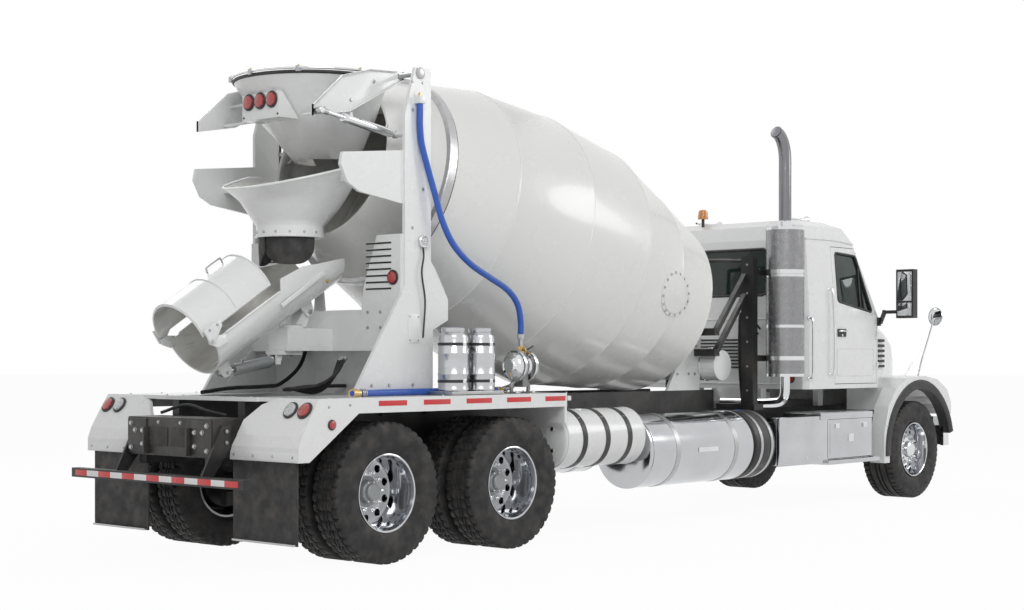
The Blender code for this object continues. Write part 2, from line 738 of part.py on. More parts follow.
def exhaust_stack():
    guard = [(0, 0.0), (0, 0.19), (1.47, 0.19), (1.47, 0.0)]
    top = [(0.0, 2.70), (0.0, 3.46), (-0.012, 3.55), (-0.045, 3.63), (-0.10, 3.69), (-0.16, 3.72)]
    pipe = bent_bar([(STACK.x + dx, STACK.y, z) for dx, z in top], 0.0635)
    run = [
        (STACK.x, STACK.y, 1.36), (STACK.x, STACK.y, 1.14), (STACK.x, STACK.y + 0.10, 1.06),
        (STACK.x, -0.30, 1.055), (STACK.x, -0.20 - SEAT, 1.055),
    ]
    return joined([turned(guard, (STACK.x, STACK.y, 1.32), (0, 0, 1), 20), pipe, bent_bar(run, 0.05)])


def exhaust_rack():
    """The upright behind the cab that carries the stack, with its braces."""
    solids = [
        box((5.40, 5.48), (-0.76, -0.62), (1.02, 2.50)),
        box((5.36, 5.52), (-0.80, -RAIL_Y[0]), (RAIL_Z[1] + SEAT, 1.05)),
    ]
    for z in (1.50, 2.35):
        near = STACK.y + 0.19 + SEAT
        solids.append(box((5.44, 5.64), (near, -0.66), (z - 0.03, z + 0.03)))
    for drop in (0.0, 0.20):
        brace = [(5.42, 2.36 - drop), (5.42, 2.30 - drop), (4.93, 1.74 - drop), (4.89, 1.77 - drop)]
        solids.append(side_plate(brace, (-0.68, -0.63)))
        foot = (1.72 - drop, 1.79 - drop)
        solids.append(box((4.87, 4.95), (-0.675, -PEDESTAL_Y - SEAT), foot))
    return joined(solids)


# ================================================================== drum and its supports
PEDESTAL_Y = 0.43


def drum_point(s, radius=0.0, angle=0.0):
    """A point by distance from the head rim, radius, and angle from the top round to the left."""
    back = Vector((-math.cos(DRUM_TILT), 0, math.sin(DRUM_TILT)))
    up = Vector((math.sin(DRUM_TILT), 0, math.cos(DRUM_TILT)))
    return DRUM_RIM + back * s + (up * math.cos(angle) + Vector((0, 1, 0)) * math.sin(angle)) * radius


DRUM_AXIS = Vector((-math.cos(DRUM_TILT), 0, math.sin(DRUM_TILT)))
# columns: distance from the head rim, outside radius
DRUM_OUTLINE = [
    (-0.22, 0.18), (-0.17, 0.50), (-0.07, 0.76), (0.0, 0.864),
    (1.367, 1.148), (2.166, 1.146), (3.022, 1.046),
    (TRACK_S - TRACK_WIDTH / 2, 0.872), (TRACK_S - TRACK_WIDTH / 2, TRACK_R),
    (TRACK_S + TRACK_WIDTH / 2, TRACK_R), (TRACK_S + TRACK_WIDTH / 2, 0.838),
    (MOUTH_S, MOUTH_R),
]


def drum():
    inside = [(s, r - DRUM_WALL) for s, r in DRUM_OUTLINE if r != TRACK_R]
    inside[0] = (inside[0][0] + DRUM_WALL, inside[0][1])
    inside[1] = (inside[1][0] + DRUM_WALL, inside[1][1])
    profile = [(DRUM_OUTLINE[0][0], 0.0)] + DRUM_OUTLINE + list(reversed(inside)) + [(inside[0][0], 0.0)]
    return turned(profile, DRUM_RIM, DRUM_AXIS, DRUM_SIDES)


def roller_axis(side):
    reach = TRACK_R / math.cos(math.pi / DRUM_SIDES) + ROLLER_R / math.cos(math.pi / 16) + SEAT
    return drum_point(TRACK_S, reach, math.pi - side * ROLLER_ANGLE)


def roller(side):
    half = ROLLER_WIDTH / 2
    shaft = 0.03
    reach = (ROLLER_EAR_X - SEAT - shaft * math.sin(DRUM_TILT) * 1.02) / math.cos(DRUM_TILT)
    profile = [
        (-reach, 0.0), (-reach, shaft), (-half, shaft), (-half, ROLLER_R),
        (half, ROLLER_R), (half, shaft), (reach, shaft), (reach, 0.0),
    ]
    return turned(profile, roller_axis(side), DRUM_AXIS, 16)


def front_pedestal():
    """Plates that carry the drum's drive, and the hydraulic oil tank in front of them."""
    plate = [
        (4.44, SUBFRAME_TOP + SEAT), (4.50, 1.29), (4.63, 1.47), (4.81, 1.78),
        (4.81, 2.05), (5.00, 2.05), (4.96, SUBFRAME_TOP + SEAT),
    ]
    solids = [box((4.82, 4.96), (-0.42, 0.42), (1.60, DRIVE_BOTTOM - SEAT))]
    for side in SIDES.values():
        solids.append(side_plate(plate, across(side, PEDESTAL_Y - 0.03, PEDESTAL_Y)))
    solids.append(rod((5.08, -0.62, 1.43), (5.08, 0.62, 1.43), 0.145, 20))
    return joined(solids)


DRIVE_BOTTOM = 1.70


def drum_gearbox():
    """Drive on the drum's axis, with a flat foot on the pedestal."""
    # columns: distance towards the front from the head's centre, radius
    steps = [(SEAT, 0.0), (SEAT, 0.17), (0.08, 0.17), (0.08, 0.21), (0.26, 0.21), (0.34, 0.12), (0.34, 0.0)]
    body = turned(steps, drum_point(-0.22), -DRUM_AXIS, 20)
    return joined([body, box((4.83, 4.95), (-0.16, 0.16), (DRIVE_BOTTOM, 1.90))])


def rear_pedestal():
    """Legs, back plates, roller beam, hopper posts and the beam under the chute's swivel."""
    base = DECK_TOP + SEAT
    solids = [box((0.70, 0.77), (-POST_Y + 0.01, POST_Y - 0.01), (base, 1.76))]
    leg = [
        (-0.07, base), (0.77, base), (0.77, 1.72), (0.94, 1.80), (0.94, 1.96), (0.80, 2.19), (0.75, 2.25),
        (0.75, HOPPER_HINGE.z + 0.04), (0.58, HOPPER_HINGE.z + 0.04), (0.47, 3.35), (0.47, 2.05),
    ]
    wing = [(0.45, 1.70), (0.88, 1.70), (0.88, 2.45), (0.62, 2.45), (0.47, 2.05), (0.45, 1.90)]
    tag = [(0.60, 2.66), (0.60, 3.10), (-0.15, 3.02), (-0.17, 2.93), (-0.10, 2.80), (0.02, 2.74)]
    for side in SIDES.values():
        solids.append(side_plate(leg, across(side, POST_Y - POST_THICK, POST_Y)))
        solids.append(cross_plate([(side * y, z) for y, z in wing], (0.44, 0.47)))
        solids.append(side_plate(tag, across(side, POST_Y - 0.05, POST_Y - 0.02)))
        axis = roller_axis(side)
        for way in (-1, 1):
            middle = axis.x + way * (ROLLER_EAR_X + 0.01)
            top = axis.z - way * ROLLER_EAR_X * math.tan(DRUM_TILT) + 0.035
            ear = [(axis.y + y, z) for y, z in ((-0.07, 1.85), (0.07, 1.85), (0.035, top), (-0.035, top))]
            solids.append(cross_plate(ear, (middle - 0.01, middle + 0.01)))
    solids.append(box((0.44, 0.48), (-POST_Y + 0.01, POST_Y - 0.01), (1.56, 1.81)))
    solids.append(box((0.46, 0.93), (-POST_Y + 0.01, POST_Y - 0.01), (1.80, 1.88)))
    beam = box(BEAM_X, (-0.11, 0.11), BEAM_Z)
    bore = rod((SWIVEL_X, 0, BEAM_Z[0] - 0.1), (SWIVEL_X, 0, BEAM_Z[1] + 0.1), SWIVEL_SHAFT_R + RUN, 20)
    solids.append(cut(beam, bore))
    foot = HOPPER_RAM_FOOT
    pin_end = foot.y - HOPPER_RAM_LUG - SEAT
    solids.append(rod((foot.x, -POST_Y + POST_THICK / 2, foot.z), (foot.x, pin_end, foot.z), 0.022, 10))
    top = Vector(DELIVERY_ROUTE[-1])
    block_y = (top.y - 0.03, -POST_Y + 0.005)
    solids.append(box((top.x - 0.03, top.x + 0.03), block_y, (top.z + SEAT, top.z + 0.06)))
    return joined(solids)


# ================================================================== hopper and collector
def ring_points(centre, radius, z, sides=24, rear_drop=0.0):
    points = []
    for k in range(sides):
        angle = math.tau * (k + 0.5) / sides
        drop = rear_drop * max(0.0, -math.cos(angle))
        points.append((centre + radius * math.cos(angle), radius * math.sin(angle), z - drop))
    return points


def funnel(sections, rear_drop):
    """An open funnel through circles; columns: centre station, radius, height."""
    outer, inner = [], []
    for i, (centre, radius, z) in enumerate(sections):
        drop = rear_drop if i == 0 else 0.0
        outer.append(ring_points(centre, radius, z, rear_drop=drop))
        inner.append(ring_points(centre, radius - FUNNEL_WALL, z, rear_drop=drop))
    return from_rings(outer + inner[::-1], capped=False)


def hopper():
    sections = [(0.36, 0.64, 3.66), (0.42, 0.49, 3.38), (0.50, 0.27, 3.06)]
    shell = cut(funnel(sections, 0.0), box((HOPPER_CLIP_X, 1.3), (-1, 1), (2.9, 3.8)))
    solids = [shell]
    frame = [
        (0.60, 3.72), (0.66, 3.72), (0.66, 3.66), (0.10, 3.36),
        (-0.27, 3.29), (-0.27, 3.37), (0.02, 3.62), (0.30, 3.70),
    ]
    pin_end = POST_Y - POST_THICK - SEAT
    for side in SIDES.values():
        solids.append(side_plate(frame, across(side, 0.66, 0.69)))
        solids.append(box((0.28, 0.44), across(side, 0.60, 0.675), (3.61, 3.65)))
        pin = [(HOPPER_HINGE.x, side * y, HOPPER_HINGE.z) for y in (0.67, pin_end)]
        solids.append(rod(*pin, 0.02, 10))
    solids.append(box((-0.03, 0.30), (-0.22, 0.22), (3.31, 3.53)))
    eye = HOPPER_RAM_EYE
    solids.append(rod((eye.x, -0.67, eye.z), (eye.x, eye.y + HOPPER_RAM_LUG + SEAT, eye.z), 0.022, 10))
    return emptied(joined(solids), sections)


def emptied(whole, sections):
    """Empty a funnel's inside again where other pieces were joined to its wall."""
    inside = [ring_points(c, r - FUNNEL_WALL + 0.0005, z) for c, r, z in reversed(sections)]
    return cut(whole, from_rings(inside))


def ram_direction(foot, eye):
    return (eye - foot).normalized(), (eye - foot).length


def ram_barrel(foot, eye, share, radius, lug_half):
    """Cylinder from its foot pin, up to a share of its closed length, bored for the rod."""
    along, length = ram_direction(foot, eye)
    profile = [
        (0.01, 0.0), (0.01, radius * 0.5), (0.05, radius * 0.5), (0.05, radius),
        (length * share, radius), (length * share, radius * 0.5),
        (RAM_BORE_START, radius * 0.5), (RAM_BORE_START, 0.0),
    ]
    barrel = turned(profile, foot, along, 16)
    lug = rod(foot + Vector((0, -lug_half, 0)), foot + Vector((0, lug_half, 0)), radius * 0.8, 12)
    return joined([barrel, lug])


def ram_rod(foot, eye, radius, lug_half):
    along, length = ram_direction(foot, eye)
    thick = (radius * 0.5 - SEAT) * math.cos(math.pi / 12)
    profile = [(RAM_ROD_START, 0.0), (RAM_ROD_START, thick), (length - 0.01, thick), (length - 0.01, 0.0)]
    shaft = turned(profile, foot, along, 12)
    lug = rod(eye + Vector((0, -lug_half, 0)), eye + Vector((0, lug_half, 0)), radius * 0.75, 12)
    return joined([shaft, lug])


def collector():
    sections = [(0.20, 0.60, 2.96), (0.14, 0.42, 2.72)]
    sections += [(SPOUT.x, SPOUT_R, SPOUT.z + rise) for rise in (0.03, -0.06)]
    shell = cut(funnel(sections, 0.17), box((0.335, 1.3), (-1, 1), (2.3, 3.2)))
    solids = [shell]
    for side in SIDES.values():
        solids.append(box((0.12, 0.26), across(side, 0.555, POST_Y - 0.05 - SEAT), (2.84, 2.90)))
    return emptied(joined(solids), sections[:2])


def spout_curtain():
    """Rubber sheet hung inside the spout's lower edge, open towards the drum."""
    radius = (SPOUT_R - FUNNEL_WALL) * math.cos(math.pi / 24) - SEAT
    outer = arc((SPOUT.x, 0), radius, 75, 285, 14)
    inner = arc((SPOUT.x, 0), radius - 0.010, 285, 75, 14)
    return flat_plate(outer + inner, (2.22, SPOUT.z - 0.005))


# ================================================================== chutes
def chute_point(along, square, y=0.0):
    """A point by distance up the rim line, distance square to it, and distance across."""
    c, s = math.cos(CHUTE_SLOPE), math.sin(CHUTE_SLOPE)
    return CHUTE_END + Vector((along * c - square * s, y, along * s + square * c))


def trough_ring(along, radius, wall_top, base, steps=10):
    """Closed U outline at one station: outside round, then inside back."""
    ring = [chute_point(along, base + wall_top, -radius)]
    for i in range(steps + 1):
        angle = math.pi * (1 + i / steps)
        ring.append(chute_point(along, base + radius * math.sin(angle), radius * math.cos(angle)))
    ring.append(chute_point(along, base + wall_top, radius))
    inside = radius - CHUTE_WALL
    ring.append(chute_point(along, base + wall_top, inside))
    for i in range(steps + 1):
        angle = math.pi * (2 - i / steps)
        ring.append(chute_point(along, base + inside * math.sin(angle), inside * math.cos(angle)))
    ring.append(chute_point(along, base + wall_top, -inside))
    return ring


def chute_radius(along):
    return CHUTE_R[0] + (CHUTE_R[1] - CHUTE_R[0]) * along / CHUTE_LENGTH


def chute_lugs(place, near, far, top, size):
    """Two ears below the chute's bottom, with a gap between them."""
    along, square = place
    lugs = []
    for side in SIDES.values():
        outline = []
        low = square - 0.02
        corners = ((-size, top), (size, top), (size * 0.7, low), (0, low - 0.015), (-size * 0.7, low))
        for da, ds in corners:
            point = chute_point(along + da, ds)
            outline.append((point.x, point.z))
        lugs.append(side_plate(outline, across(side, near, far)))
    return lugs


def main_chute():
    # columns: distance up the rim line, height of the side walls above it
    stations = [(0.0, 0.012), (0.72, 0.012), (0.765, 0.09), (CHUTE_LENGTH, 0.012)]
    rings = [trough_ring(s, chute_radius(s), wall, 0.0) for s, wall in stations]
    low_head = [chute_point(a, n) for a, n in ((1.0, 0.06), (1.45, -0.117), (1.45, 0.12), (1.0, 0.12))]
    clear_of_drum = side_plate([(p.x, p.z) for p in low_head], (-0.4, 0.4))
    solids = [cut(from_rings(rings), clear_of_drum)]
    bottom = 0.004 - chute_radius(0.0)
    solids += chute_lugs(RAM_PIN, *RAM_EAR_Y, bottom, 0.06)
    near, far = TONGUE_HALF + SEAT, TONGUE_HALF + 0.02
    solids += chute_lugs(LIFT_HINGE, near, far, 0.018 - chute_radius(LIFT_HINGE[0]), 0.06)
    for side in SIDES.values():
        corners = ((0.10, -0.05), (0.10, 0.0), (0.02, 0.05), (-0.05, 0.053), (-0.06, 0.015), (0.0, -0.05))
        outline = [chute_point(a, n) for a, n in corners]
        solids.append(side_plate([(p.x, p.z) for p in outline], across(side, *FOLD_EAR_Y)))
        pad = [chute_point(a, n) for a, n in ((0.09, -0.04), (0.09, -0.005), (0.01, -0.005), (0.01, -0.04))]
        pad_y = across(side, CHUTE_R[0] - 0.009, FOLD_EAR_Y[0] + 0.004)
        solids.append(side_plate([(p.x, p.z) for p in pad], pad_y))
    return joined(solids)


def fold_chute():
    """Extension chute lying upside down on the main chute."""
    radius = CHUTE_R[0] - 0.001
    steps = 10
    rings = []
    for along in FOLD_SPAN:
        ring = [chute_point(along, FOLD_RISE, -radius)]
        for reach, way in ((radius, 1), (radius - CHUTE_WALL, -1)):
            for i in range(steps + 1):
                angle = math.pi * (1 - i / steps) if way == 1 else math.pi * i / steps
                rise = FOLD_RISE + 0.004 + reach * math.sin(angle)
                ring.append(chute_point(along, rise, reach * math.cos(angle)))
            if way == 1:
                ring.append(chute_point(along, FOLD_RISE, radius))
                ring.append(chute_point(along, FOLD_RISE, radius - CHUTE_WALL))
        ring.append(chute_point(along, FOLD_RISE, CHUTE_WALL - radius))
        rings.append(ring)
    solids = [from_rings(rings)]
    for side in SIDES.values():
        corners = (
            (0.10, FOLD_RISE + 0.05), (0.10, FOLD_RISE),
            (FOLD_HINGE[0] + 0.02, FOLD_HINGE[1] - 0.02), (FOLD_HINGE[0] - 0.02, FOLD_HINGE[1] - 0.01),
            (-0.066, FOLD_RISE + 0.05),
        )
        outline = [chute_point(a, s) for a, s in corners]
        near = FOLD_EAR_Y[1] + 0.005
        solids.append(side_plate([(p.x, p.z) for p in outline], across(side, near, near + 0.016)))
        pin = [chute_point(*FOLD_HINGE, y=side * y) for y in (FOLD_EAR_Y[1] + SEAT, near + 0.01)]
        solids.append(rod(*pin, 0.010, 10))
        low, high = FOLD_RISE + 0.012, FOLD_RISE + 0.042
        pad = [chute_point(a, s) for a, s in ((0.09, high), (0.09, low), (-0.03, low), (-0.03, high))]
        solids.append(side_plate([(p.x, p.z) for p in pad], across(side, radius - 0.02, near + 0.008)))
    return joined(solids)


def chute_swivel():
    """Turntable on the beam, its shaft, the chute's hinge ears and the foot of the lift ram."""
    top = BEAM_Z[1] + SEAT
    low = BEAM_Z[0] - SEAT
    disc = [(0, 0.0), (0, 0.105), (0.022, 0.105), (0.022, 0.0)]
    hinge = chute_point(*LIFT_HINGE)
    solids = [
        turned(disc, (SWIVEL_X, 0, top), (0, 0, 1), 20),
        rod((SWIVEL_X, 0, low - 0.02), (SWIVEL_X, 0, top + 0.01), SWIVEL_SHAFT_R, 16),
    ]
    tongue = [
        (SWIVEL_X - 0.02, top + 0.01), (hinge.x - 0.03, hinge.z + 0.02), (hinge.x, hinge.z + 0.035),
        (hinge.x + 0.035, hinge.z), (hinge.x - 0.02, top + 0.01),
    ]
    solids.append(side_plate(tongue, (-TONGUE_HALF, TONGUE_HALF)))
    foot = RAM_FOOT
    solids.append(box((foot.x - 0.02, SWIVEL_X + 0.06), (-0.075, 0.075), (low - 0.03, low)))
    for side in SIDES.values():
        ear = [
            (foot.x - 0.02, low - 0.01), (foot.x + 0.05, low - 0.01),
            (foot.x + 0.02, foot.z - 0.03), (foot.x - 0.02, foot.z - 0.03),
        ]
        solids.append(side_plate(ear, across(side, *RAM_EAR_Y)))
    return joined(solids)


# ================================================================== water gear on the deck
CANS = ((0.80, 0.119), (1.10, 0.119))
CAN_Y = -1.09
PUMP = Vector((1.66, -1.02, 1.44))
HOSE_R = 0.025


def wash_cans():
    """Two steel cans in one low tray."""
    solids = [box((0.66, 1.24), (-1.215, -0.965), (DECK_TOP + SEAT, DECK_TOP + 0.03))]
    for x, radius in CANS:
        neck = radius * 0.75
        profile = [(0, 0.0), (0, radius), (0.44, radius), (0.47, neck), (0.50, neck), (0.50, 0.0)]
        solids.append(turned(profile, (x, CAN_Y, DECK_TOP + 0.02), (0, 0, 1), 20))
    return joined(solids)


def water_pump():
    """Diaphragm pump: two round heads either side of a centre body, on feet."""
    heads = [
        (-0.15, 0.0), (-0.15, 0.10), (-0.11, 0.13), (-0.05, 0.13), (-0.04, 0.07),
        (0.04, 0.07), (0.05, 0.13), (0.11, 0.13), (0.15, 0.10), (0.15, 0.0),
    ]
    low = DECK_TOP + SEAT
    solids = [
        turned(heads, PUMP, (1, 0, 0), 16),
        box((PUMP.x - 0.14, PUMP.x + 0.14), (PUMP.y - 0.07, PUMP.y + 0.07), (low, low + 0.05)),
        box((PUMP.x - 0.03, PUMP.x + 0.03), (PUMP.y - 0.05, PUMP.y + 0.05), (low + 0.04, PUMP.z)),
        rod((PUMP.x, PUMP.y, PUMP.z), (PUMP.x, PUMP.y, OUTLET.z - SEAT), 0.028, 12),
        box((PUMP.x - 0.20, PUMP.x - 0.02), (PUMP.y + 0.04, PUMP.y + 0.12), (low + 0.005, low + 0.065)),
    ]
    return joined(solids)


OUTLET = Vector((PUMP.x, PUMP.y, 1.70))
DELIVERY_ROUTE = [
    (1.66, -1.02, 1.70), (1.66, -1.02, 1.80), (1.62, -1.02, 1.94), (1.50, -1.02, 2.05), (1.30, -1.015, 2.14),
    (1.08, -1.01, 2.24), (0.90, -1.0, 2.38), (0.79, -0.985, 2.56), (0.73, -0.965, 2.76), (0.67, -0.945, 2.96),
    (0.62, -0.93, 3.14), (0.60, -0.93, 3.28), (0.60, -0.93, 3.37), (0.60, -0.93, 3.45),
]
SUCTION_ROUTE = [
    (1.4597, -0.935, 1.2465), (1.35, -0.935, 1.2465), (1.05, -0.935, 1.2465), (0.60, -0.935, 1.2465),
    (0.20, -0.97, 1.2465), (-0.05, -1.02, 1.2465), (-0.22, -1.05, 1.2465),
]


def smooth_route(points, spacing):
    """Evenly spaced points on the smooth curve through the route's own points."""
    points = [Vector(point) for point in points]
    padded = [points[0] * 2 - points[1]] + points + [points[-1] * 2 - points[-2]]
    dense = []
    for a, b, c, d in zip(padded, padded[1:], padded[2:], padded[3:]):
        for i in range(16):
            t = i / 16
            square = (2 * a - 5 * b + 4 * c - d) * t**2
            cube = (3 * b - a - 3 * c + d) * t**3
            dense.append(0.5 * (2 * b + (c - a) * t + square + cube))
    dense.append(points[-1])
    route, since = [dense[0]], 0.0
    for a, b in zip(dense, dense[1:]):
        since += (b - a).length
        if since >= spacing:
            route.append(b)
            since = 0.0
    if (route[-1] - dense[-1]).length < spacing / 2:
        route.pop()
    route.append(dense[-1])
    return route


def hose(name, points, parent):
    route = smooth_route(points, 0.10)
    curve = bpy.data.curves.new(name, "CURVE")
    curve.dimensions = "3D"
    curve.bevel_depth = HOSE_R
    curve.bevel_resolution = 2
    curve.use_fill_caps = True
    line = curve.splines.new("POLY")
    line.points.add(len(route) - 1)
    for place, point in zip(line.points, route):
        place.co = (*point, 1.0)
    curve.materials.append(material("blue_hose"))
    made = bpy.data.objects.new(name, curve)
    bpy.context.scene.collection.objects.link(made)
    made.parent = parent
    return made


# ================================================================== the truck
def build():
    clear_scene()
    truck = empty("truck_origin", (-(TAIL_X + NOSE_X) / 2, 0, 0))

    # fixed pieces; columns: name, maker, paint
    fixed = [
        ("chassis_frame", chassis_frame, "black_paint"),
        ("front_axle", front_axle, "black_paint"),
        ("rear_axles", rear_axles, "black_paint"),
        ("engine", engine, "grey_trim"),
        ("front_bumper", front_bumper, "polished"),
        ("underride_bar", underride_bar, "black_paint"),
        ("rear_fenders", rear_fenders, "white_paint"),
        ("water_tank", water_tank, "white_paint"),
        ("cab_shell", cab_shell, "white_paint"),
        ("cab_interior", cab_interior, "grey_trim"),
        ("windshield", lambda: pane(WINDSHIELD, SCREEN_X), "glass"),
        ("rear_window", lambda: pane(REAR_WINDOW, BACKLIGHT_X), "glass"),
        ("exhaust_stack", exhaust_stack, "polished"),
        ("exhaust_rack", exhaust_rack, "black_paint"),
        ("front_pedestal", front_pedestal, "white_paint"),
        ("drum_gearbox", drum_gearbox, "grey_paint"),
        ("rear_pedestal", rear_pedestal, "white_paint"),
        ("collector", collector, "white_paint"),
        ("spout_curtain", spout_curtain, "rubber"),
        ("wash_cans", wash_cans, "polished"),
        ("water_pump", water_pump, "steel"),
    ]
    for name, maker, paint in fixed:
        finish(maker(), name, paint, truck)
    hose("delivery_hose", DELIVERY_ROUTE, truck)
    hose("suction_hose", SUCTION_ROUTE, truck)

    for word, side in SIDES.items():
        finish(mud_flap(side), f"mud_flap_{word}", "rubber", truck)
        finish(fuel_tank(side), f"fuel_tank_{word}", "polished", truck)
        finish(side_steps(side), f"side_steps_{word}", "polished", truck)
        finish(mirror(side), f"mirror_{word}", "black_paint", truck)

        hinge = (DOOR_HINGE[0], side * DOOR_HINGE[1], BELT_Z)
        finish(door(side), f"door_{word}", "white_paint", truck, hinge)
        finish(roller(side), f"drum_roller_{word}", "steel", truck, roller_axis(side))

        steering = empty(f"steering_{word}", (FRONT_AXLE_X, side * KINGPIN_Y, AXLE_Z), truck)
        finish(knuckle(side), f"knuckle_{word}", "black_paint", truck, steering.location)
        centre = (FRONT_AXLE_X, side * FRONT_TYRE_Y, AXLE_Z)
        finish(front_tyre(side), f"front_tyre_{word}", "rubber", truck, centre)
        finish(front_rim(side), f"front_rim_{word}", "polished", truck, centre)
        for place, x in REAR_AXLES.items():
            middle = (x, side * (DUAL_OUTER_Y - DUAL_SPACING / 2), AXLE_Z)
            finish(dual_tyres(side, x), f"{place}_tyres_{word}", "rubber", truck, middle)
            finish(dual_rims(side, x), f"{place}_rims_{word}", "polished", truck, middle)

    finish(drum(), "drum", "white_paint", truck, DRUM_RIM)
    finish(hood(), "hood", "white_paint", truck, HOOD_HINGE)
    finish(hopper(), "hopper", "white_paint", truck, HOPPER_HINGE)
    foot, eye = HOPPER_RAM_FOOT, HOPPER_RAM_EYE
    finish(ram_barrel(foot, eye, 0.72, 0.035, HOPPER_RAM_LUG), "hopper_ram_barrel", "polished", truck, foot)
    finish(ram_rod(foot, eye, 0.035, HOPPER_RAM_LUG), "hopper_ram_rod", "steel", truck, foot)

    finish(chute_swivel(), "chute_swivel", "white_paint", truck, (SWIVEL_X, 0, BEAM_Z[1]))
    finish(main_chute(), "main_chute", "white_paint", truck, chute_point(*LIFT_HINGE))
    finish(fold_chute(), "fold_chute", "white_paint", truck, chute_point(*FOLD_HINGE))
    eye = chute_point(*RAM_PIN)
    barrel = ram_barrel(RAM_FOOT, eye, 0.80, 0.045, RAM_EAR_Y[0] - SEAT)
    finish(barrel, "chute_ram_barrel", "grey_paint", truck, RAM_FOOT)
    finish(ram_rod(RAM_FOOT, eye, 0.045, RAM_EAR_Y[0] - SEAT), "chute_ram_rod", "steel", truck, RAM_FOOT)


build()
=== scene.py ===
"""Looks of the concrete mixer truck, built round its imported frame.

Places are in metres: x forward from the rearmost axle, y from the middle to the left, z above the
ground.  at() turns them into the frame's own coordinates.
"""

import json
import math
import random

import bmesh
import bpy
from mathutils import Matrix, Vector


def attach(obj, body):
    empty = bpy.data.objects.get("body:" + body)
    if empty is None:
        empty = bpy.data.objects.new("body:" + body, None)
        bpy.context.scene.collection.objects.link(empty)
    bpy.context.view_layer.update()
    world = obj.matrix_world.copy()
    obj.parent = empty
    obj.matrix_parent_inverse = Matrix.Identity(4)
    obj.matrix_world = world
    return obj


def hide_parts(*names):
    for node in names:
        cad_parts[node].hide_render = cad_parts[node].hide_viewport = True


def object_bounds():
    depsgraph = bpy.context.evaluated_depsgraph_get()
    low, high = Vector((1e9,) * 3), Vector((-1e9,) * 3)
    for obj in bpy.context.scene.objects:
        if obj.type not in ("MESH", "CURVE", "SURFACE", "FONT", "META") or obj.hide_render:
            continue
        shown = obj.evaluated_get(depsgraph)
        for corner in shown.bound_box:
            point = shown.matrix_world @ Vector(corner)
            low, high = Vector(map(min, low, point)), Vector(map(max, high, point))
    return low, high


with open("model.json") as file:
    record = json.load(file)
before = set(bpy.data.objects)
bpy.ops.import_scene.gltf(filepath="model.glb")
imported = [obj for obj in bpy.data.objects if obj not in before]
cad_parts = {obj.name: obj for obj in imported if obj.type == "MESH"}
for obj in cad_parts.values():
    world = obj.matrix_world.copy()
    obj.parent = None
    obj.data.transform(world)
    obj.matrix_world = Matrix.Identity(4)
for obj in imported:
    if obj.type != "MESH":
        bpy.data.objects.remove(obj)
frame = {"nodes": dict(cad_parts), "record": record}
cad_low, cad_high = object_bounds()

JOINTS = {joint["name"]: joint for joint in frame["record"]["behaviour"]["joints"]}
ORIGIN_X = JOINTS["rearmost_wheels_right_spin"]["pos_m"][0]
SIDES = {"right": -1.0, "left": 1.0}
UP = Vector((0, 0, 1))
FORWARD = Vector((1, 0, 0))
LEFT = Vector((0, 1, 0))
random.seed(11)


def at(x, y, z):
    """A place on the truck in the frame's coordinates."""
    return Vector((x + ORIGIN_X, y, z))


def pivot(joint):
    return Vector(JOINTS[joint]["pos_m"])


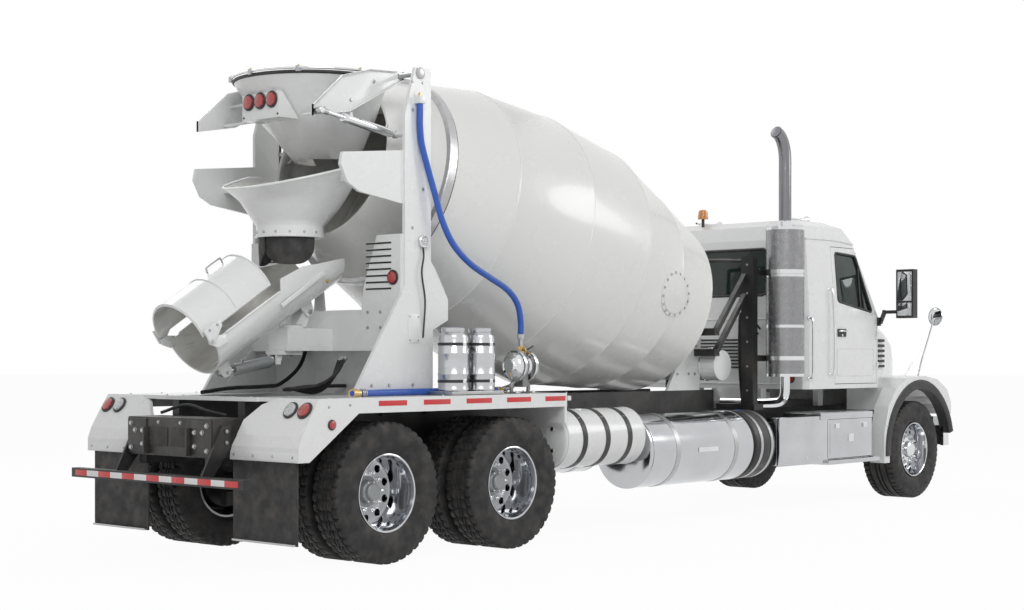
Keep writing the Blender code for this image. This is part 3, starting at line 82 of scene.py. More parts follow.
# ================================================================== materials
class Finish:
    """A Principled material whose colour, gloss and relief vary over the surface."""

    def __init__(self, name, colour, metallic=0.0, roughness=0.4, **sockets):
        self.material = bpy.data.materials.new(name)
        self.material.use_nodes = True
        self.nodes = self.material.node_tree.nodes
        self.links = self.material.node_tree.links
        self.shader = self.nodes["Principled BSDF"]
        self.shader.inputs["Base Color"].default_value = (*colour, 1)
        self.shader.inputs["Metallic"].default_value = metallic
        self.shader.inputs["Roughness"].default_value = roughness
        for socket, value in sockets.items():
            self.shader.inputs[socket.replace("_", " ")].default_value = value
        self.colour = tuple(colour)
        self.place = self.nodes.new("ShaderNodeTexCoord").outputs["Object"]

    def node(self, kind, **settings):
        made = self.nodes.new(kind)
        for key, value in settings.items():
            setattr(made, key, value)
        return made

    def noise(self, scale, detail=4.0, stretch=(1, 1, 1), sharp=None):
        """Noise from 0 to 1 over the surface; sharp=(low, high) turns it into patches."""
        place = self.place
        if stretch != (1, 1, 1):
            mapping = self.node("ShaderNodeMapping")
            mapping.inputs["Scale"].default_value = stretch
            self.links.new(place, mapping.inputs["Vector"])
            place = mapping.outputs["Vector"]
        made = self.node("ShaderNodeTexNoise")
        made.inputs["Scale"].default_value = scale
        made.inputs["Detail"].default_value = detail
        self.links.new(place, made.inputs["Vector"])
        if sharp is None:
            return made.outputs["Fac"]
        return self.spread(made.outputs["Fac"], *sharp)

    def spread(self, socket, low, high, to_low=0.0, to_high=1.0):
        made = self.node("ShaderNodeMapRange")
        for key, value in zip(("From Min", "From Max", "To Min", "To Max"), (low, high, to_low, to_high)):
            made.inputs[key].default_value = value
        self.links.new(socket, made.inputs["Value"])
        return made.outputs["Result"]

    def height(self, low, high):
        """1 at the low height and below, 0 at the high one and above."""
        split = self.node("ShaderNodeSeparateXYZ")
        self.links.new(self.place, split.inputs[0])
        return self.spread(split.outputs["Z"], low, high, 1.0, 0.0)

    def times(self, first, second):
        made = self.node("ShaderNodeMath", operation="MULTIPLY")
        self.links.new(first, made.inputs[0])
        if isinstance(second, float):
            made.inputs[1].default_value = second
        else:
            self.links.new(second, made.inputs[1])
        return made.outputs[0]

    def tint(self, colour, factor):
        """Lays another colour over what is there by a factor that varies."""
        made = self.node("ShaderNodeMix", data_type="RGBA")
        base = self.shader.inputs["Base Color"]
        if base.is_linked:
            self.links.new(base.links[0].from_socket, made.inputs["A"])
        else:
            made.inputs["A"].default_value = (*self.colour, 1)
        made.inputs["B"].default_value = (*colour, 1)
        self.links.new(factor, made.inputs["Factor"])
        self.links.new(made.outputs["Result"], base)
        return self

    def gloss(self, factor, low, high):
        self.links.new(self.spread(factor, 0.3, 0.7, low, high), self.shader.inputs["Roughness"])
        return self

    def relief(self, socket, distance, strength=1.0):
        made = self.node("ShaderNodeBump")
        made.inputs["Distance"].default_value = distance
        made.inputs["Strength"].default_value = strength
        self.links.new(socket, made.inputs["Height"])
        normal = self.shader.inputs["Normal"]
        if normal.is_linked:
            self.links.new(normal.links[0].from_socket, made.inputs["Normal"])
        self.links.new(made.outputs["Normal"], normal)
        return self


def gloss_paint(name, colour, dust=0.25, roughness=(0.2, 0.34)):
    """Sprayed paint: orange peel, slow changes of gloss, road dust low down."""
    made = Finish(name, colour, 0.0, roughness[0], Coat_Weight=0.35, Coat_Roughness=0.08)
    made.tint([c * 0.965 for c in colour], made.noise(0.9, 2))
    made.tint((0.50, 0.46, 0.40), made.times(made.height(0.3, 1.7), made.times(made.noise(3, 5, sharp=(0.35, 0.95)), dust)))
    made.gloss(made.noise(4, 5), *roughness)
    made.relief(made.noise(95, 2), 0.0006, 0.35)
    return made.material


def dull_metal(name, colour, metallic, roughness, grain=40.0, stretch=(1, 1, 1), relief=0.0006, dust=0.2):
    made = Finish(name, colour, metallic, roughness[0])
    made.tint([c * 0.72 for c in colour], made.noise(grain * 0.2, 6, stretch))
    made.tint((0.33, 0.30, 0.26), made.times(made.noise(3, 6, sharp=(0.45, 0.8)), dust))
    made.gloss(made.noise(grain * 0.4, 5, stretch), *roughness)
    made.relief(made.noise(grain * 4, 3, stretch), relief, 0.5)
    return made.material


def rubber(name, colour, dust=0.35):
    made = Finish(name, colour, 0.0, 0.7, Specular_IOR_Level=0.35)
    made.tint((0.16, 0.145, 0.125), made.times(made.noise(9, 8, sharp=(0.42, 0.8)), dust))
    made.gloss(made.noise(16, 5), 0.55, 0.8)
    made.relief(made.noise(260, 3), 0.0006, 0.5)
    return made.material


def lens(name, colour, glow=0.0):
    made = Finish(name, colour, 0.0, 0.08, Coat_Weight=1.0, Coat_Roughness=0.03)
    ribs = made.node("ShaderNodeTexVoronoi")
    ribs.inputs["Scale"].default_value = 110.0
    made.links.new(made.place, ribs.inputs["Vector"])
    made.tint([c * 0.45 for c in colour], made.spread(ribs.outputs["Distance"], 0.2, 0.7))
    made.relief(ribs.outputs["Distance"], 0.003, 0.6)
    if glow:
        made.shader.inputs["Emission Color"].default_value = (*colour, 1)
        made.shader.inputs["Emission Strength"].default_value = glow
    return made.material


def tinted_glass(name):
    made = Finish(name, (0.10, 0.15, 0.13), 0.0, 0.03, Transmission_Weight=0.75, IOR=1.45)
    made.tint((0.03, 0.05, 0.045), made.noise(2.2, 5, sharp=(0.35, 0.7)))
    made.gloss(made.noise(6, 4), 0.02, 0.07)
    return made.material


def perforated_steel(name, centre_x, centre_y, radius):
    """Bright sheet with rows of small round holes round an upright axis."""
    made = Finish(name, (0.36, 0.36, 0.37), 1.0, 0.24)
    split = made.node("ShaderNodeSeparateXYZ")
    made.links.new(made.place, split.inputs[0])

    def math_node(operation, first, second=0.0):
        step = made.node("ShaderNodeMath", operation=operation)
        for k, value in enumerate((first, second)):
            if isinstance(value, (int, float)):
                step.inputs[k].default_value = value
            else:
                made.links.new(value, step.inputs[k])
        return step.outputs[0]

    dx = math_node("SUBTRACT", split.outputs["X"], centre_x)
    dy = math_node("SUBTRACT", split.outputs["Y"], centre_y)
    around = math_node("MULTIPLY", math_node("ARCTAN2", dy, dx), radius)
    pitch = 0.022
    turn = math.tau / pitch
    a = math_node("COSINE", math_node("MULTIPLY", around, turn))
    b = math_node("COSINE", math_node("MULTIPLY", split.outputs["Z"], turn))
    dots = made.spread(math_node("MULTIPLY", a, b), 0.28, 0.42)
    # the holes are painted near-black and not metallic: painted shade seen through them
    made.tint((0.012, 0.012, 0.013), dots)
    made.links.new(made.spread(dots, 0, 1, 1.0, 0.0), made.shader.inputs["Metallic"])
    made.tint((0.22, 0.20, 0.17), made.times(made.noise(3, 5, sharp=(0.45, 0.8)), 0.15))
    made.gloss(made.noise(20, 4), 0.18, 0.34)
    made.relief(dots, -0.002, 0.6)
    return made.material


def worn_channel(name):
    """Paint where concrete has run: grey film, scratches along the slope."""
    made = Finish(name, (0.74, 0.74, 0.72), 0.0, 0.45)
    made.tint((0.46, 0.45, 0.42), made.noise(3.2, 8, (0.5, 2.2, 0.5), sharp=(0.38, 0.75)))
    made.tint((0.33, 0.32, 0.30), made.times(made.noise(34, 6, (0.25, 3, 0.25), sharp=(0.55, 0.75)), 0.6))
    made.gloss(made.noise(10, 5), 0.4, 0.62)
    made.relief(made.noise(60, 6, (0.3, 2, 0.3)), 0.0012, 0.6)
    return made.material


STACK = at(5.68, -0.95, 0)
WHITE = gloss_paint("gloss_white", (0.80, 0.81, 0.805), 0.14)
DRUM_WHITE = gloss_paint("drum_white", (0.78, 0.785, 0.765), 0.05, (0.22, 0.30))
BLACK = dull_metal("satin_black", (0.017, 0.017, 0.018), 0.0, (0.34, 0.55), dust=0.16)
BLACK_PLASTIC = dull_metal("black_plastic", (0.02, 0.02, 0.021), 0.0, (0.45, 0.62), 90, relief=0.001, dust=0.1)
GREY = dull_metal("machine_grey", (0.36, 0.38, 0.39), 0.2, (0.32, 0.5))
CAST = dull_metal("cast_metal", (0.30, 0.30, 0.30), 0.85, (0.4, 0.6), 60, relief=0.002)
TYRE = rubber("tyre_rubber", (0.022, 0.022, 0.023))
FLAP = rubber("sheet_rubber", (0.035, 0.035, 0.037), 0.5)
POLISHED = dull_metal("polished_alloy", (0.60, 0.61, 0.63), 1.0, (0.07, 0.15), 12, relief=0.0001, dust=0.03)
BRUSHED = dull_metal("brushed_alloy", (0.62, 0.63, 0.65), 1.0, (0.15, 0.26), 20, (0.4, 0.4, 3), 0.0001, 0.05)
CHROME = dull_metal("chrome", (0.80, 0.81, 0.82), 1.0, (0.04, 0.10), 20, relief=0.0001, dust=0.03)
STEEL = dull_metal("bare_steel", (0.52, 0.52, 0.53), 1.0, (0.25, 0.42), 50)
BRASS = dull_metal("brass", (0.72, 0.50, 0.20), 1.0, (0.2, 0.4), 50)
DARK_PIPE = dull_metal("dark_chrome", (0.26, 0.26, 0.28), 1.0, (0.09, 0.2), 20, relief=0.0002)
GUARD = perforated_steel("perforated_steel", STACK.x, STACK.y, 0.19)
CHANNEL = worn_channel("worn_channel")
GLASS = tinted_glass("tinted_glass")
RED_LENS = lens("red_lens", (0.55, 0.012, 0.012), 0.05)
AMBER_LENS = lens("amber_lens", (0.85, 0.30, 0.02), 0.05)
CLEAR_LENS = lens("clear_lens", (0.78, 0.79, 0.80))
BLUE = dull_metal("blue_hose", (0.030, 0.115, 0.52), 0.0, (0.28, 0.42), 70, dust=0.06)
HOSE = rubber("hydraulic_hose", (0.018, 0.018, 0.019), 0.15)
RED_TAPE = gloss_paint("red_reflector", (0.62, 0.02, 0.025), 0.1, (0.25, 0.4))
WHITE_TAPE = gloss_paint("white_reflector", (0.80, 0.80, 0.80), 0.1, (0.25, 0.4))
CAB_TRIM = dull_metal("cab_trim", (0.11, 0.11, 0.115), 0.0, (0.5, 0.7), 120, relief=0.001, dust=0.05)
# near-black: the own colour of a cable at the tail, and painted shade in vent slots, behind the grille and in openings
NEAR_BLACK_AND_PAINTED_SHADE = dull_metal("near_black_and_painted_shade", (0.012, 0.012, 0.013), 0.0, (0.6, 0.8))
MIRROR_GLASS = dull_metal("mirror_glass", (0.75, 0.77, 0.78), 1.0, (0.02, 0.05), relief=0.00005, dust=0.02)


# ================================================================== pieces
class Piece:
    """Solids gathered into one object, each with its material, that ride on one body."""

    def __init__(self, name, body, *materials):
        self.name = name
        self.body = body
        self.materials = materials
        self.mesh = bmesh.new()

    def _keep(self, before, slot, smooth):
        faces = [face for face in self.mesh.faces if face.index == -1 or face not in before]
        for face in faces:
            face.material_index = slot
            face.smooth = smooth
        return faces

    def _bevel(self, edges, width, segments=2):
        if width:
            bmesh.ops.bevel(
                self.mesh, geom=list(edges), offset=width, segments=segments, profile=0.6, affect="EDGES",
                clamp_overlap=True, loop_slide=True,
            )

    def rings(self, rings, slot=0, capped=True, smooth=True, bevel=0.0):
        """A closed form through rings of points; capped=False joins the last ring to the first."""
        before = set(self.mesh.faces)
        rows = [[self.mesh.verts.new(point) for point in ring] for ring in rings]
        count = len(rows[0])
        made = []
        pairs = list(zip(rows, rows[1:])) + ([] if capped else [(rows[-1], rows[0])])
        for lower, upper in pairs:
            for i in range(count):
                j = (i + 1) % count
                made.append(self.mesh.faces.new((lower[i], lower[j], upper[j], upper[i])))
        if capped:
            made.append(self.mesh.faces.new(reversed(rows[0])))
            made.append(self.mesh.faces.new(rows[-1]))
        bmesh.ops.recalc_face_normals(self.mesh, faces=made)
        if bevel:
            self._bevel({edge for face in made for edge in face.edges}, bevel)
        self._keep(before, slot, smooth)
        return self

    def block(self, x, y, z, slot=0, bevel=0.003):
        (x0, x1), (y0, y1), (z0, z1) = sorted(x), sorted(y), sorted(z)
        rings = [[at(px, py, pz) for px, py in ((x0, y0), (x1, y0), (x1, y1), (x0, y1))] for pz in (z0, z1)]
        return self.rings(rings, slot, bevel=bevel)

    def plate(self, corners, thickness, slot=0, bevel=0.002):
        """A flat sheet: its corners in order on one face, and the vector to its other face."""
        corners = [Vector(corner) for corner in corners]
        return self.rings([corners, [corner + thickness for corner in corners]], slot, bevel=bevel)

    def lathe(self, profile, start, direction, slot=0, sides=48, closed=False):
        """Turn (distance along, radius) about an axis.  closed joins the profile's two ends."""
        before = set(self.mesh.faces)
        along = Vector(direction).normalized()
        first = (UP.cross(along) if abs(along.z) < 0.9 else FORWARD.cross(along)).normalized()
        second = along.cross(first)
        spokes = [
            first * math.cos(math.tau * (k + 0.5) / sides) + second * math.sin(math.tau * (k + 0.5) / sides)
            for k in range(sides)
        ]
        rows = []
        for distance, radius in profile:
            centre = start + along * distance
            if radius < 1e-6:
                rows.append([self.mesh.verts.new(centre)] * sides)
            else:
                rows.append([self.mesh.verts.new(centre + spoke * radius) for spoke in spokes])
        made = []
        for lower, upper in list(zip(rows, rows[1:])) + ([(rows[-1], rows[0])] if closed else []):
            for k in range(sides):
                j = (k + 1) % sides
                corners = list(dict.fromkeys((lower[k], lower[j], upper[j], upper[k])))
                if len(corners) > 2:
                    made.append(self.mesh.faces.new(corners))
        bmesh.ops.recalc_face_normals(self.mesh, faces=made)
        self._keep(before, slot, True)
        return self

    def rod(self, start, end, radius, slot=0, sides=20, round_end=0.15):
        start, end = Vector(start), Vector(end)
        length = (end - start).length
        edge = radius * round_end
        profile = [(0, 0), (0, radius - edge), (edge, radius), (length - edge, radius), (length, radius - edge), (length, 0)]
        return self.lathe(profile, start, end - start, slot, sides)

    def bolt(self, place, direction, size=0.012, slot=0):
        """A hexagon head on its washer."""
        place, direction = Vector(place), Vector(direction).normalized()
        self.lathe([(0, 0), (0, size * 1.25), (size * 0.2, size * 1.2), (size * 0.2, 0)], place, direction, slot, 16)
        head = [(size * 0.2, 0), (size * 0.2, size), (size * 0.75, size), (size * 0.9, size * 0.8), (size * 0.9, 0)]
        return self.lathe(head, place, direction, slot, 6)

    def ring(self, centre, direction, radius, thick, slot=0, sides=40):
        profile = [
            (thick * math.sin(math.tau * k / 10), radius + thick * math.cos(math.tau * k / 10)) for k in range(10)
        ]
        return self.lathe(profile, centre, direction, slot, sides, closed=True)

    def tube(self, points, radius, slot=0, sides=12, smooth_steps=6):
        """A round tube along a smooth curve through a few points."""
        route = smooth_route(points, smooth_steps)
        rings = []
        first = None
        for i, point in enumerate(route):
            along = (route[min(i + 1, len(route) - 1)] - route[max(i - 1, 0)]).normalized()
            if first is None:
                first = (UP.cross(along) if abs(along.z) < 0.9 else FORWARD.cross(along)).normalized()
            first = (first - along * first.dot(along)).normalized()
            second = along.cross(first)
            rings.append([
                point + (first * math.cos(math.tau * k / sides) + second * math.sin(math.tau * k / sides)) * radius
                for k in range(sides)
            ])
        return self.rings(rings, slot)

    def done(self, *replaced, slot=None, sharp=32):
        mesh = bpy.data.meshes.new(self.name)
        self.mesh.to_mesh(mesh)
        self.mesh.free()
        made = bpy.data.objects.new(self.name, mesh)
        bpy.context.scene.collection.objects.link(made)
        for material in self.materials:
            mesh.materials.append(material)
        mesh.set_sharp_from_angle(angle=math.radians(sharp))
        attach(made, self.body)
        if replaced:
            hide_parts(*replaced)
        return made


def smooth_route(points, steps):
    """Points on a smooth curve through the given ones."""
    points = [Vector(point) for point in points]
    if steps < 2 or len(points) < 3:
        return points
    padded = [points[0] * 2 - points[1]] + points + [points[-1] * 2 - points[-2]]
    route = []
    for a, b, c, d in zip(padded, padded[1:], padded[2:], padded[3:]):
        for i in range(steps):
            t = i / steps
            route.append(
                0.5 * (2 * b + (c - a) * t + (2 * a - 5 * b + 4 * c - d) * t**2 + (3 * b - a - 3 * c + d) * t**3)
            )
    route.append(points[-1])
    return route


def cut(target, tool):
    """Take one object out of another."""
    modifier = target.modifiers.new("cut", "BOOLEAN")
    modifier.operation = "DIFFERENCE"
    modifier.object = tool
    bpy.context.view_layer.update()
    result = bpy.data.meshes.new_from_object(target.evaluated_get(bpy.context.evaluated_depsgraph_get()))
    target.modifiers.clear()
    target.data = result
    bpy.data.objects.remove(tool, do_unlink=True)
    return target


def loose(piece):
    """The piece's mesh as an object that rides on nothing, to cut with."""
    mesh = bpy.data.meshes.new("cutter")
    piece.mesh.to_mesh(mesh)
    piece.mesh.free()
    made = bpy.data.objects.new("cutter", mesh)
    bpy.context.scene.collection.objects.link(made)
    return made


def soften(node, width, segments=2, angle=30):
    """Round a CAD node's edges."""
    shown = frame["nodes"][node]
    modifier = shown.modifiers.new("soft_edges", "BEVEL")
    modifier.width = width
    modifier.segments = segments
    modifier.limit_method = "ANGLE"
    modifier.angle_limit = math.radians(angle)
    modifier.harden_normals = False
    shown.data.shade_smooth()
    shown.data.set_sharp_from_angle(angle=math.radians(angle + 8))
    return shown


def paint(node, material):
    shown = frame["nodes"][node]
    shown.data.materials.clear()
    shown.data.materials.append(material)


# ================================================================== wheels
TYRE_R = 0.52
BEAD_R = 0.284
REAR_X = {"forward": 1.372, "rearmost": 0.0}
FRONT_X = 7.872
DUAL_Y = (0.75, 1.08)
DUAL_WIDTH = 0.28
FRONT_Y = 1.008
FRONT_WIDTH = 0.385


def tyre(name, body, centre, width, lugs, *replaced, drive=True):
    """A tyre with grooves, shoulder blocks and sidewall ribs.  centre is the middle of its tread."""
    # columns: share of the width from the middle, radius
    side = [
        (0.36, 0.286), (0.405, 0.290), (0.42, 0.302), (0.462, 0.318), (0.468, 0.330), (0.487, 0.350),
        (0.497, 0.385), (0.499, 0.415), (0.494, 0.440), (0.488, 0.446), (0.489, 0.452), (0.476, 0.472),
        (0.462, 0.492), (0.452, 0.505), (0.425, 0.5165),
    ]
    groove = 0.016
    tread = [
        (0.395, 0.520), (0.285, 0.520), (0.275, 0.520 - groove), (0.235, 0.520 - groove), (0.225, 0.520),
        (0.085, 0.520), (0.075, 0.520 - groove), (0.040, 0.520 - groove), (0.030, 0.520),
    ]
    half = side + tread
    profile = half + [(-share, radius) for share, radius in reversed(half)]
    steps = lugs * 4
    shape = Piece(name, body, TYRE)
    rows = []
    for k in range(steps):
        angle = math.tau * (k + 0.5) / steps
        ring = []
        for share, radius in profile:
            across = abs(share)
            phase = (k + (2 if share < 0 else 0)) % 4
            if across < 0.23 and drive:
                phase = (k + 1) % 4
            if phase == 0 and across > 0.28 and radius > 0.488:
                radius -= groove * (1.0 if radius > 0.51 else 0.7)
            elif phase == 0 and drive and radius >= 0.5199:
                radius -= groove * 0.8
            ring.append(
                centre + Vector((math.sin(angle) * radius, share * width, -math.cos(angle) * radius))
            )
        rows.append(ring)
    mesh = shape.mesh
    grid = [[mesh.verts.new(point) for point in ring] for ring in rows]
    for a, b in zip(grid, grid[1:] + grid[:1]):
        for i in range(len(profile)):
            j = (i + 1) % len(profile)
            mesh.faces.new((a[i], a[j], b[j], b[i]))
    bmesh.ops.recalc_face_normals(mesh, faces=mesh.faces)
    for face in mesh.faces:
        face.smooth = True
    return shape.done(*replaced, sharp=38)


def rim(name, body, axle, side, barrel, web, dish, hub, *replaced):
    """A polished disc wheel.  barrel is its inner and outer edge, web the disc's place, dish its depth."""
    lip = BEAD_R + 0.004
    inner, outer = barrel
    profile = [
        (inner, lip), (inner + 0.012, lip), (inner + 0.014, 0.279), (web - 0.05, 0.270), (outer - 0.05, 0.272),
        (outer - 0.014, 0.279), (outer - 0.012, lip), (outer, lip), (outer + 0.002, lip - 0.006),
        (outer - 0.004, lip - 0.014), (outer - 0.03, 0.266), (outer - 0.06, 0.258), (web + 0.045, 0.252),
        (web + 0.012, 0.243), (web + dish * 0.35, 0.215), (web + dish, 0.165), (web + dish, 0.085),
        (web + dish - 0.022, 0.085), (web + dish - 0.022, 0.160), (web + dish * 0.35 - 0.022, 0.212),
        (web - 0.012, 0.240), (inner + 0.03, 0.262), (inner, 0.272),
    ]
    wheel = Piece(name, body, POLISHED)
    wheel.lathe(profile, axle, LEFT * side, sides=96, closed=True)
    disc = wheel.done(*replaced)
    holes = Piece("cutter", body)
    for k in range(10):
        angle = math.tau * (k + 0.5) / 10
        spot = axle + Vector((math.cos(angle) * 0.2, 0, math.sin(angle) * 0.2))
        ends = [spot + LEFT * side * y for y in (web - 0.08, web + 0.12)]
        holes.rod(*ends, 0.030, sides=24, round_end=0)
    cut(disc, loose(holes))
    disc.data.shade_smooth()
    disc.data.set_sharp_from_angle(angle=math.radians(32))
    face = web + dish
    middle = Piece(name.replace("rims", "hub").replace("rim", "hub"), body, hub, CHROME, BLACK)
    steps = [
        (face - 0.03, 0), (face - 0.03, 0.118), (face + 0.004, 0.116), (face + 0.008, 0.088), (face + 0.05, 0.082),
        (face + 0.058, 0.075), (face + 0.062, 0.066), (face + 0.085, 0.062), (face + 0.092, 0.054), (face + 0.094, 0),
    ]
    limit = outer - 0.03
    steps = [(min(d, limit), r) for d, r in steps]
    middle.lathe(steps, axle, LEFT * side, 0, 48)
    for k in range(10):
        angle = math.tau * k / 10
        spot = axle + Vector((math.cos(angle) * 0.142, 0, math.sin(angle) * 0.142)) + LEFT * side * face
        nut = [(0, 0), (0, 0.021), (0.008, 0.020), (0.008, 0.0165), (0.024, 0.0165), (0.027, 0.013), (0.027, 0)]
        middle.lathe(nut, spot, LEFT * side, 1, 6)
        middle.rod(spot + LEFT * side * 0.02, spot + LEFT * side * 0.042, 0.0095, 1, 10)
    for k in range(8):
        angle = math.tau * (k + 0.5) / 8
        spot = axle + Vector((math.cos(angle) * 0.074, 0, math.sin(angle) * 0.074)) + LEFT * side * min(face + 0.054, limit - 0.004)
        middle.bolt(spot, LEFT * side, 0.0065, 1)
    return middle.done()


def wheels():
    for word, side in SIDES.items():
        for place, x in REAR_X.items():
            body = f"{place}_wheels_{word}"
            node = f"{place}_tyres_{word}"
            axle = at(x, 0, TYRE_R)
            tyre(f"{node}_outer", body, at(x, side * DUAL_Y[1], TYRE_R), DUAL_WIDTH, 42, node)
            tyre(f"{node}_inner", body, at(x, side * DUAL_Y[0], TYRE_R), DUAL_WIDTH, 42, node)
            rim(f"{place}_rims_{word}_outer", body, axle, side, (0.945, 1.197), 0.955, 0.012, GREY, f"{place}_rims_{word}")
            back = Piece(f"{place}_rims_{word}_inner", body, STEEL, BLACK)
            profile = [
                (0.635, 0.288), (0.66, 0.278), (0.84, 0.272), (0.86, 0.288), (0.885, 0.27), (0.885, 0.13),
                (0.87, 0.13), (0.87, 0.258), (0.66, 0.262), (0.635, 0.272),
            ]
            back.lathe(profile, axle, LEFT * side, 0, 64, closed=True)
            drum_profile = [(0.663, 0), (0.663, 0.205), (0.68, 0.215), (0.84, 0.215), (0.85, 0.12), (0.93, 0.116), (0.93, 0)]
            back.lathe(drum_profile, axle, LEFT * side, 1, 48)
            back.done()
        body = f"front_wheel_{word}"
        axle = at(FRONT_X, 0, TYRE_R)
        tyre(f"front_tyre_{word}", body, at(FRONT_X, side * FRONT_Y, TYRE_R), FRONT_WIDTH, 54, f"front_tyre_{word}", drive=False)
        rim(f"front_rim_{word}", body, axle, side, (0.84, 1.177), 1.035, 0.045, CHROME, f"front_rim_{word}")
        brake = Piece(f"front_brake_drum_{word}", body, BLACK)
        brake.lathe([(1.002, 0), (1.002, 0.11), (0.99, 0.12), (0.99, 0.205), (0.845, 0.205), (0.845, 0.19), (0.98, 0.19), (1.06, 0.1), (1.06, 0)], axle, LEFT * side, 0, 48)
        brake.done()


# ================================================================== drum
DRUM_RIM = pivot("drum_spin")
DRUM_AXIS = Vector(JOINTS["drum_spin"]["axis"]).normalized()
DRUM_UP = (UP - DRUM_AXIS * UP.dot(DRUM_AXIS)).normalized()
# columns: distance from the head rim, outside radius
DRUM_SECTIONS = [
    (-0.22, 0.16), (-0.205, 0.30), (-0.17, 0.50), (-0.125, 0.66), (-0.07, 0.77), (-0.02, 0.840), (0.0, 0.862),
    (0.68, 1.006), (1.367, 1.146), (2.166, 1.145), (3.022, 1.046), (3.607, 0.872),
]
DRUM_SIDES = 144


def drum_at(s, radius, angle):
    """A point on the drum; the angle goes from its top round to the left."""
    return DRUM_RIM + DRUM_AXIS * s + (DRUM_UP * math.cos(angle) + LEFT * math.sin(angle)) * radius


def drum_radius(s):
    for (s0, r0), (s1, r1) in zip(DRUM_SECTIONS, DRUM_SECTIONS[1:]):
        if s <= s1:
            return r0 + (r1 - r0) * (s - s0) / (s1 - s0)
    return 0.872 + (0.63 - 0.872) * (s - 3.607) / (4.15 - 3.607)


def drum_shell():
    outside = [(-0.22, 0.0)]
    for s, radius in DRUM_SECTIONS:
        if s in (0.0, 0.68, 1.367, 2.166, 3.022):
            bead = 0.0035
            outside += [(s - 0.011, drum_radius(s - 0.011)), (s - 0.006, radius + bead), (s + 0.006, radius + bead)]
            outside.append((s + 0.011, drum_radius(s + 0.011)))
        else:
            outside.append((s, radius))
    outside += [(3.697, 0.838), (4.10, 0.650), (4.128, 0.646), (4.146, 0.638), (4.149, 0.626), (4.14, 0.616), (4.11, 0.618)]
    inside = [(3.697, 0.815), (3.022, 1.026), (2.166, 1.126), (1.367, 1.127), (0.0, 0.843), (-0.10, 0.70), (-0.2, 0.30), (-0.2, 0.0)]
    shell = Piece("drum_shell", "mixing_drum", DRUM_WHITE, CHANNEL)
    shell.lathe(outside + inside, DRUM_RIM, DRUM_AXIS, 0, DRUM_SIDES)
    for face in shell.mesh.faces:
        middle = face.calc_center_median() - DRUM_RIM
        s = middle.dot(DRUM_AXIS)
        reach = (middle - DRUM_AXIS * s).length
        if -0.19 < s < 4.11 and reach < drum_radius(s) - 0.012:
            face.material_index = 1
    shell.done("drum")
    track = Piece("drum_track_ring", "mixing_drum", STEEL, BLACK)
    track.lathe([(3.609, 0.86), (3.609, 0.879), (3.613, 0.884), (3.691, 0.884), (3.695, 0.879), (3.695, 0.84)], DRUM_RIM, DRUM_AXIS, 0, DRUM_SIDES, closed=True)
    track.lathe([(3.596, 0.872), (3.598, 0.877), (3.6085, 0.877), (3.6085, 0.866)], DRUM_RIM, DRUM_AXIS, 1, DRUM_SIDES, closed=True)
    track.done()


def drum_fins():
    """The two spiral blades that show through the mouth."""
    blades = Piece("drum_fins", "mixing_drum", CHANNEL)
    steps = 60
    for start in (0.4, 0.4 + math.pi):
        rings = []
        for i in range(steps + 1):
            s = 2.55 + 1.52 * i / steps
            angle = start + 1.35 * math.pi * i / steps
            wall = drum_radius(s) - 0.023
            tip = wall - (0.30 - 0.20 * max(0.0, (i / steps - 0.55) / 0.45))
            rings.append([
                drum_at(s - 0.006, wall, angle), drum_at(s + 0.006, wall, angle),
                drum_at(s + 0.05, tip, angle), drum_at(s + 0.038, tip, angle),
            ])
        blades.rings(rings)
    blades.done()


def drum_hatch():
    """Bolted oval door on the head cone."""
    door = Piece("drum_hatch", "mixing_drum", DRUM_WHITE, STEEL, BLACK)
    middle_s, middle_angle = 0.74, math.radians(-98)
    count = 44

    def oval(scale, lift):
        points = []
        for k in range(count):
            turn = math.tau * k / count
            s = middle_s + 0.27 * scale * math.cos(turn)
            angle = middle_angle + 0.20 * scale * math.sin(turn)
            points.append(drum_at(s, drum_radius(s) + lift, angle))
        return points

    door.rings([oval(1.0, -0.004), oval(1.0, 0.005), oval(0.985, 0.008), oval(0.86, 0.008), oval(0.84, 0.013), oval(0.80, 0.015), oval(0.0001, 0.015)], 0, capped=False)
    for k in range(16):
        turn = math.tau * k / 16
        s = middle_s + 0.25 * math.cos(turn)
        angle = middle_angle + 0.186 * math.sin(turn)
        spot = drum_at(s, drum_radius(s) + 0.008, angle)
        out = drum_at(s, 1.0, angle) - drum_at(s, 0.0, angle)
        door.bolt(spot, out, 0.011, 1)
    door.done()


# ================================================================== charge hopper
HOPPER_SECTIONS = [(0.36, 0.64, 3.66), (0.42, 0.49, 3.38), (0.50, 0.27, 3.06)]  # centre, radius, height
COLLECTOR_SECTIONS = [(0.20, 0.60, 2.96), (0.14, 0.42, 2.72), (0.10, 0.265, 2.53), (0.10, 0.265, 2.44)]
SHEET = 0.012


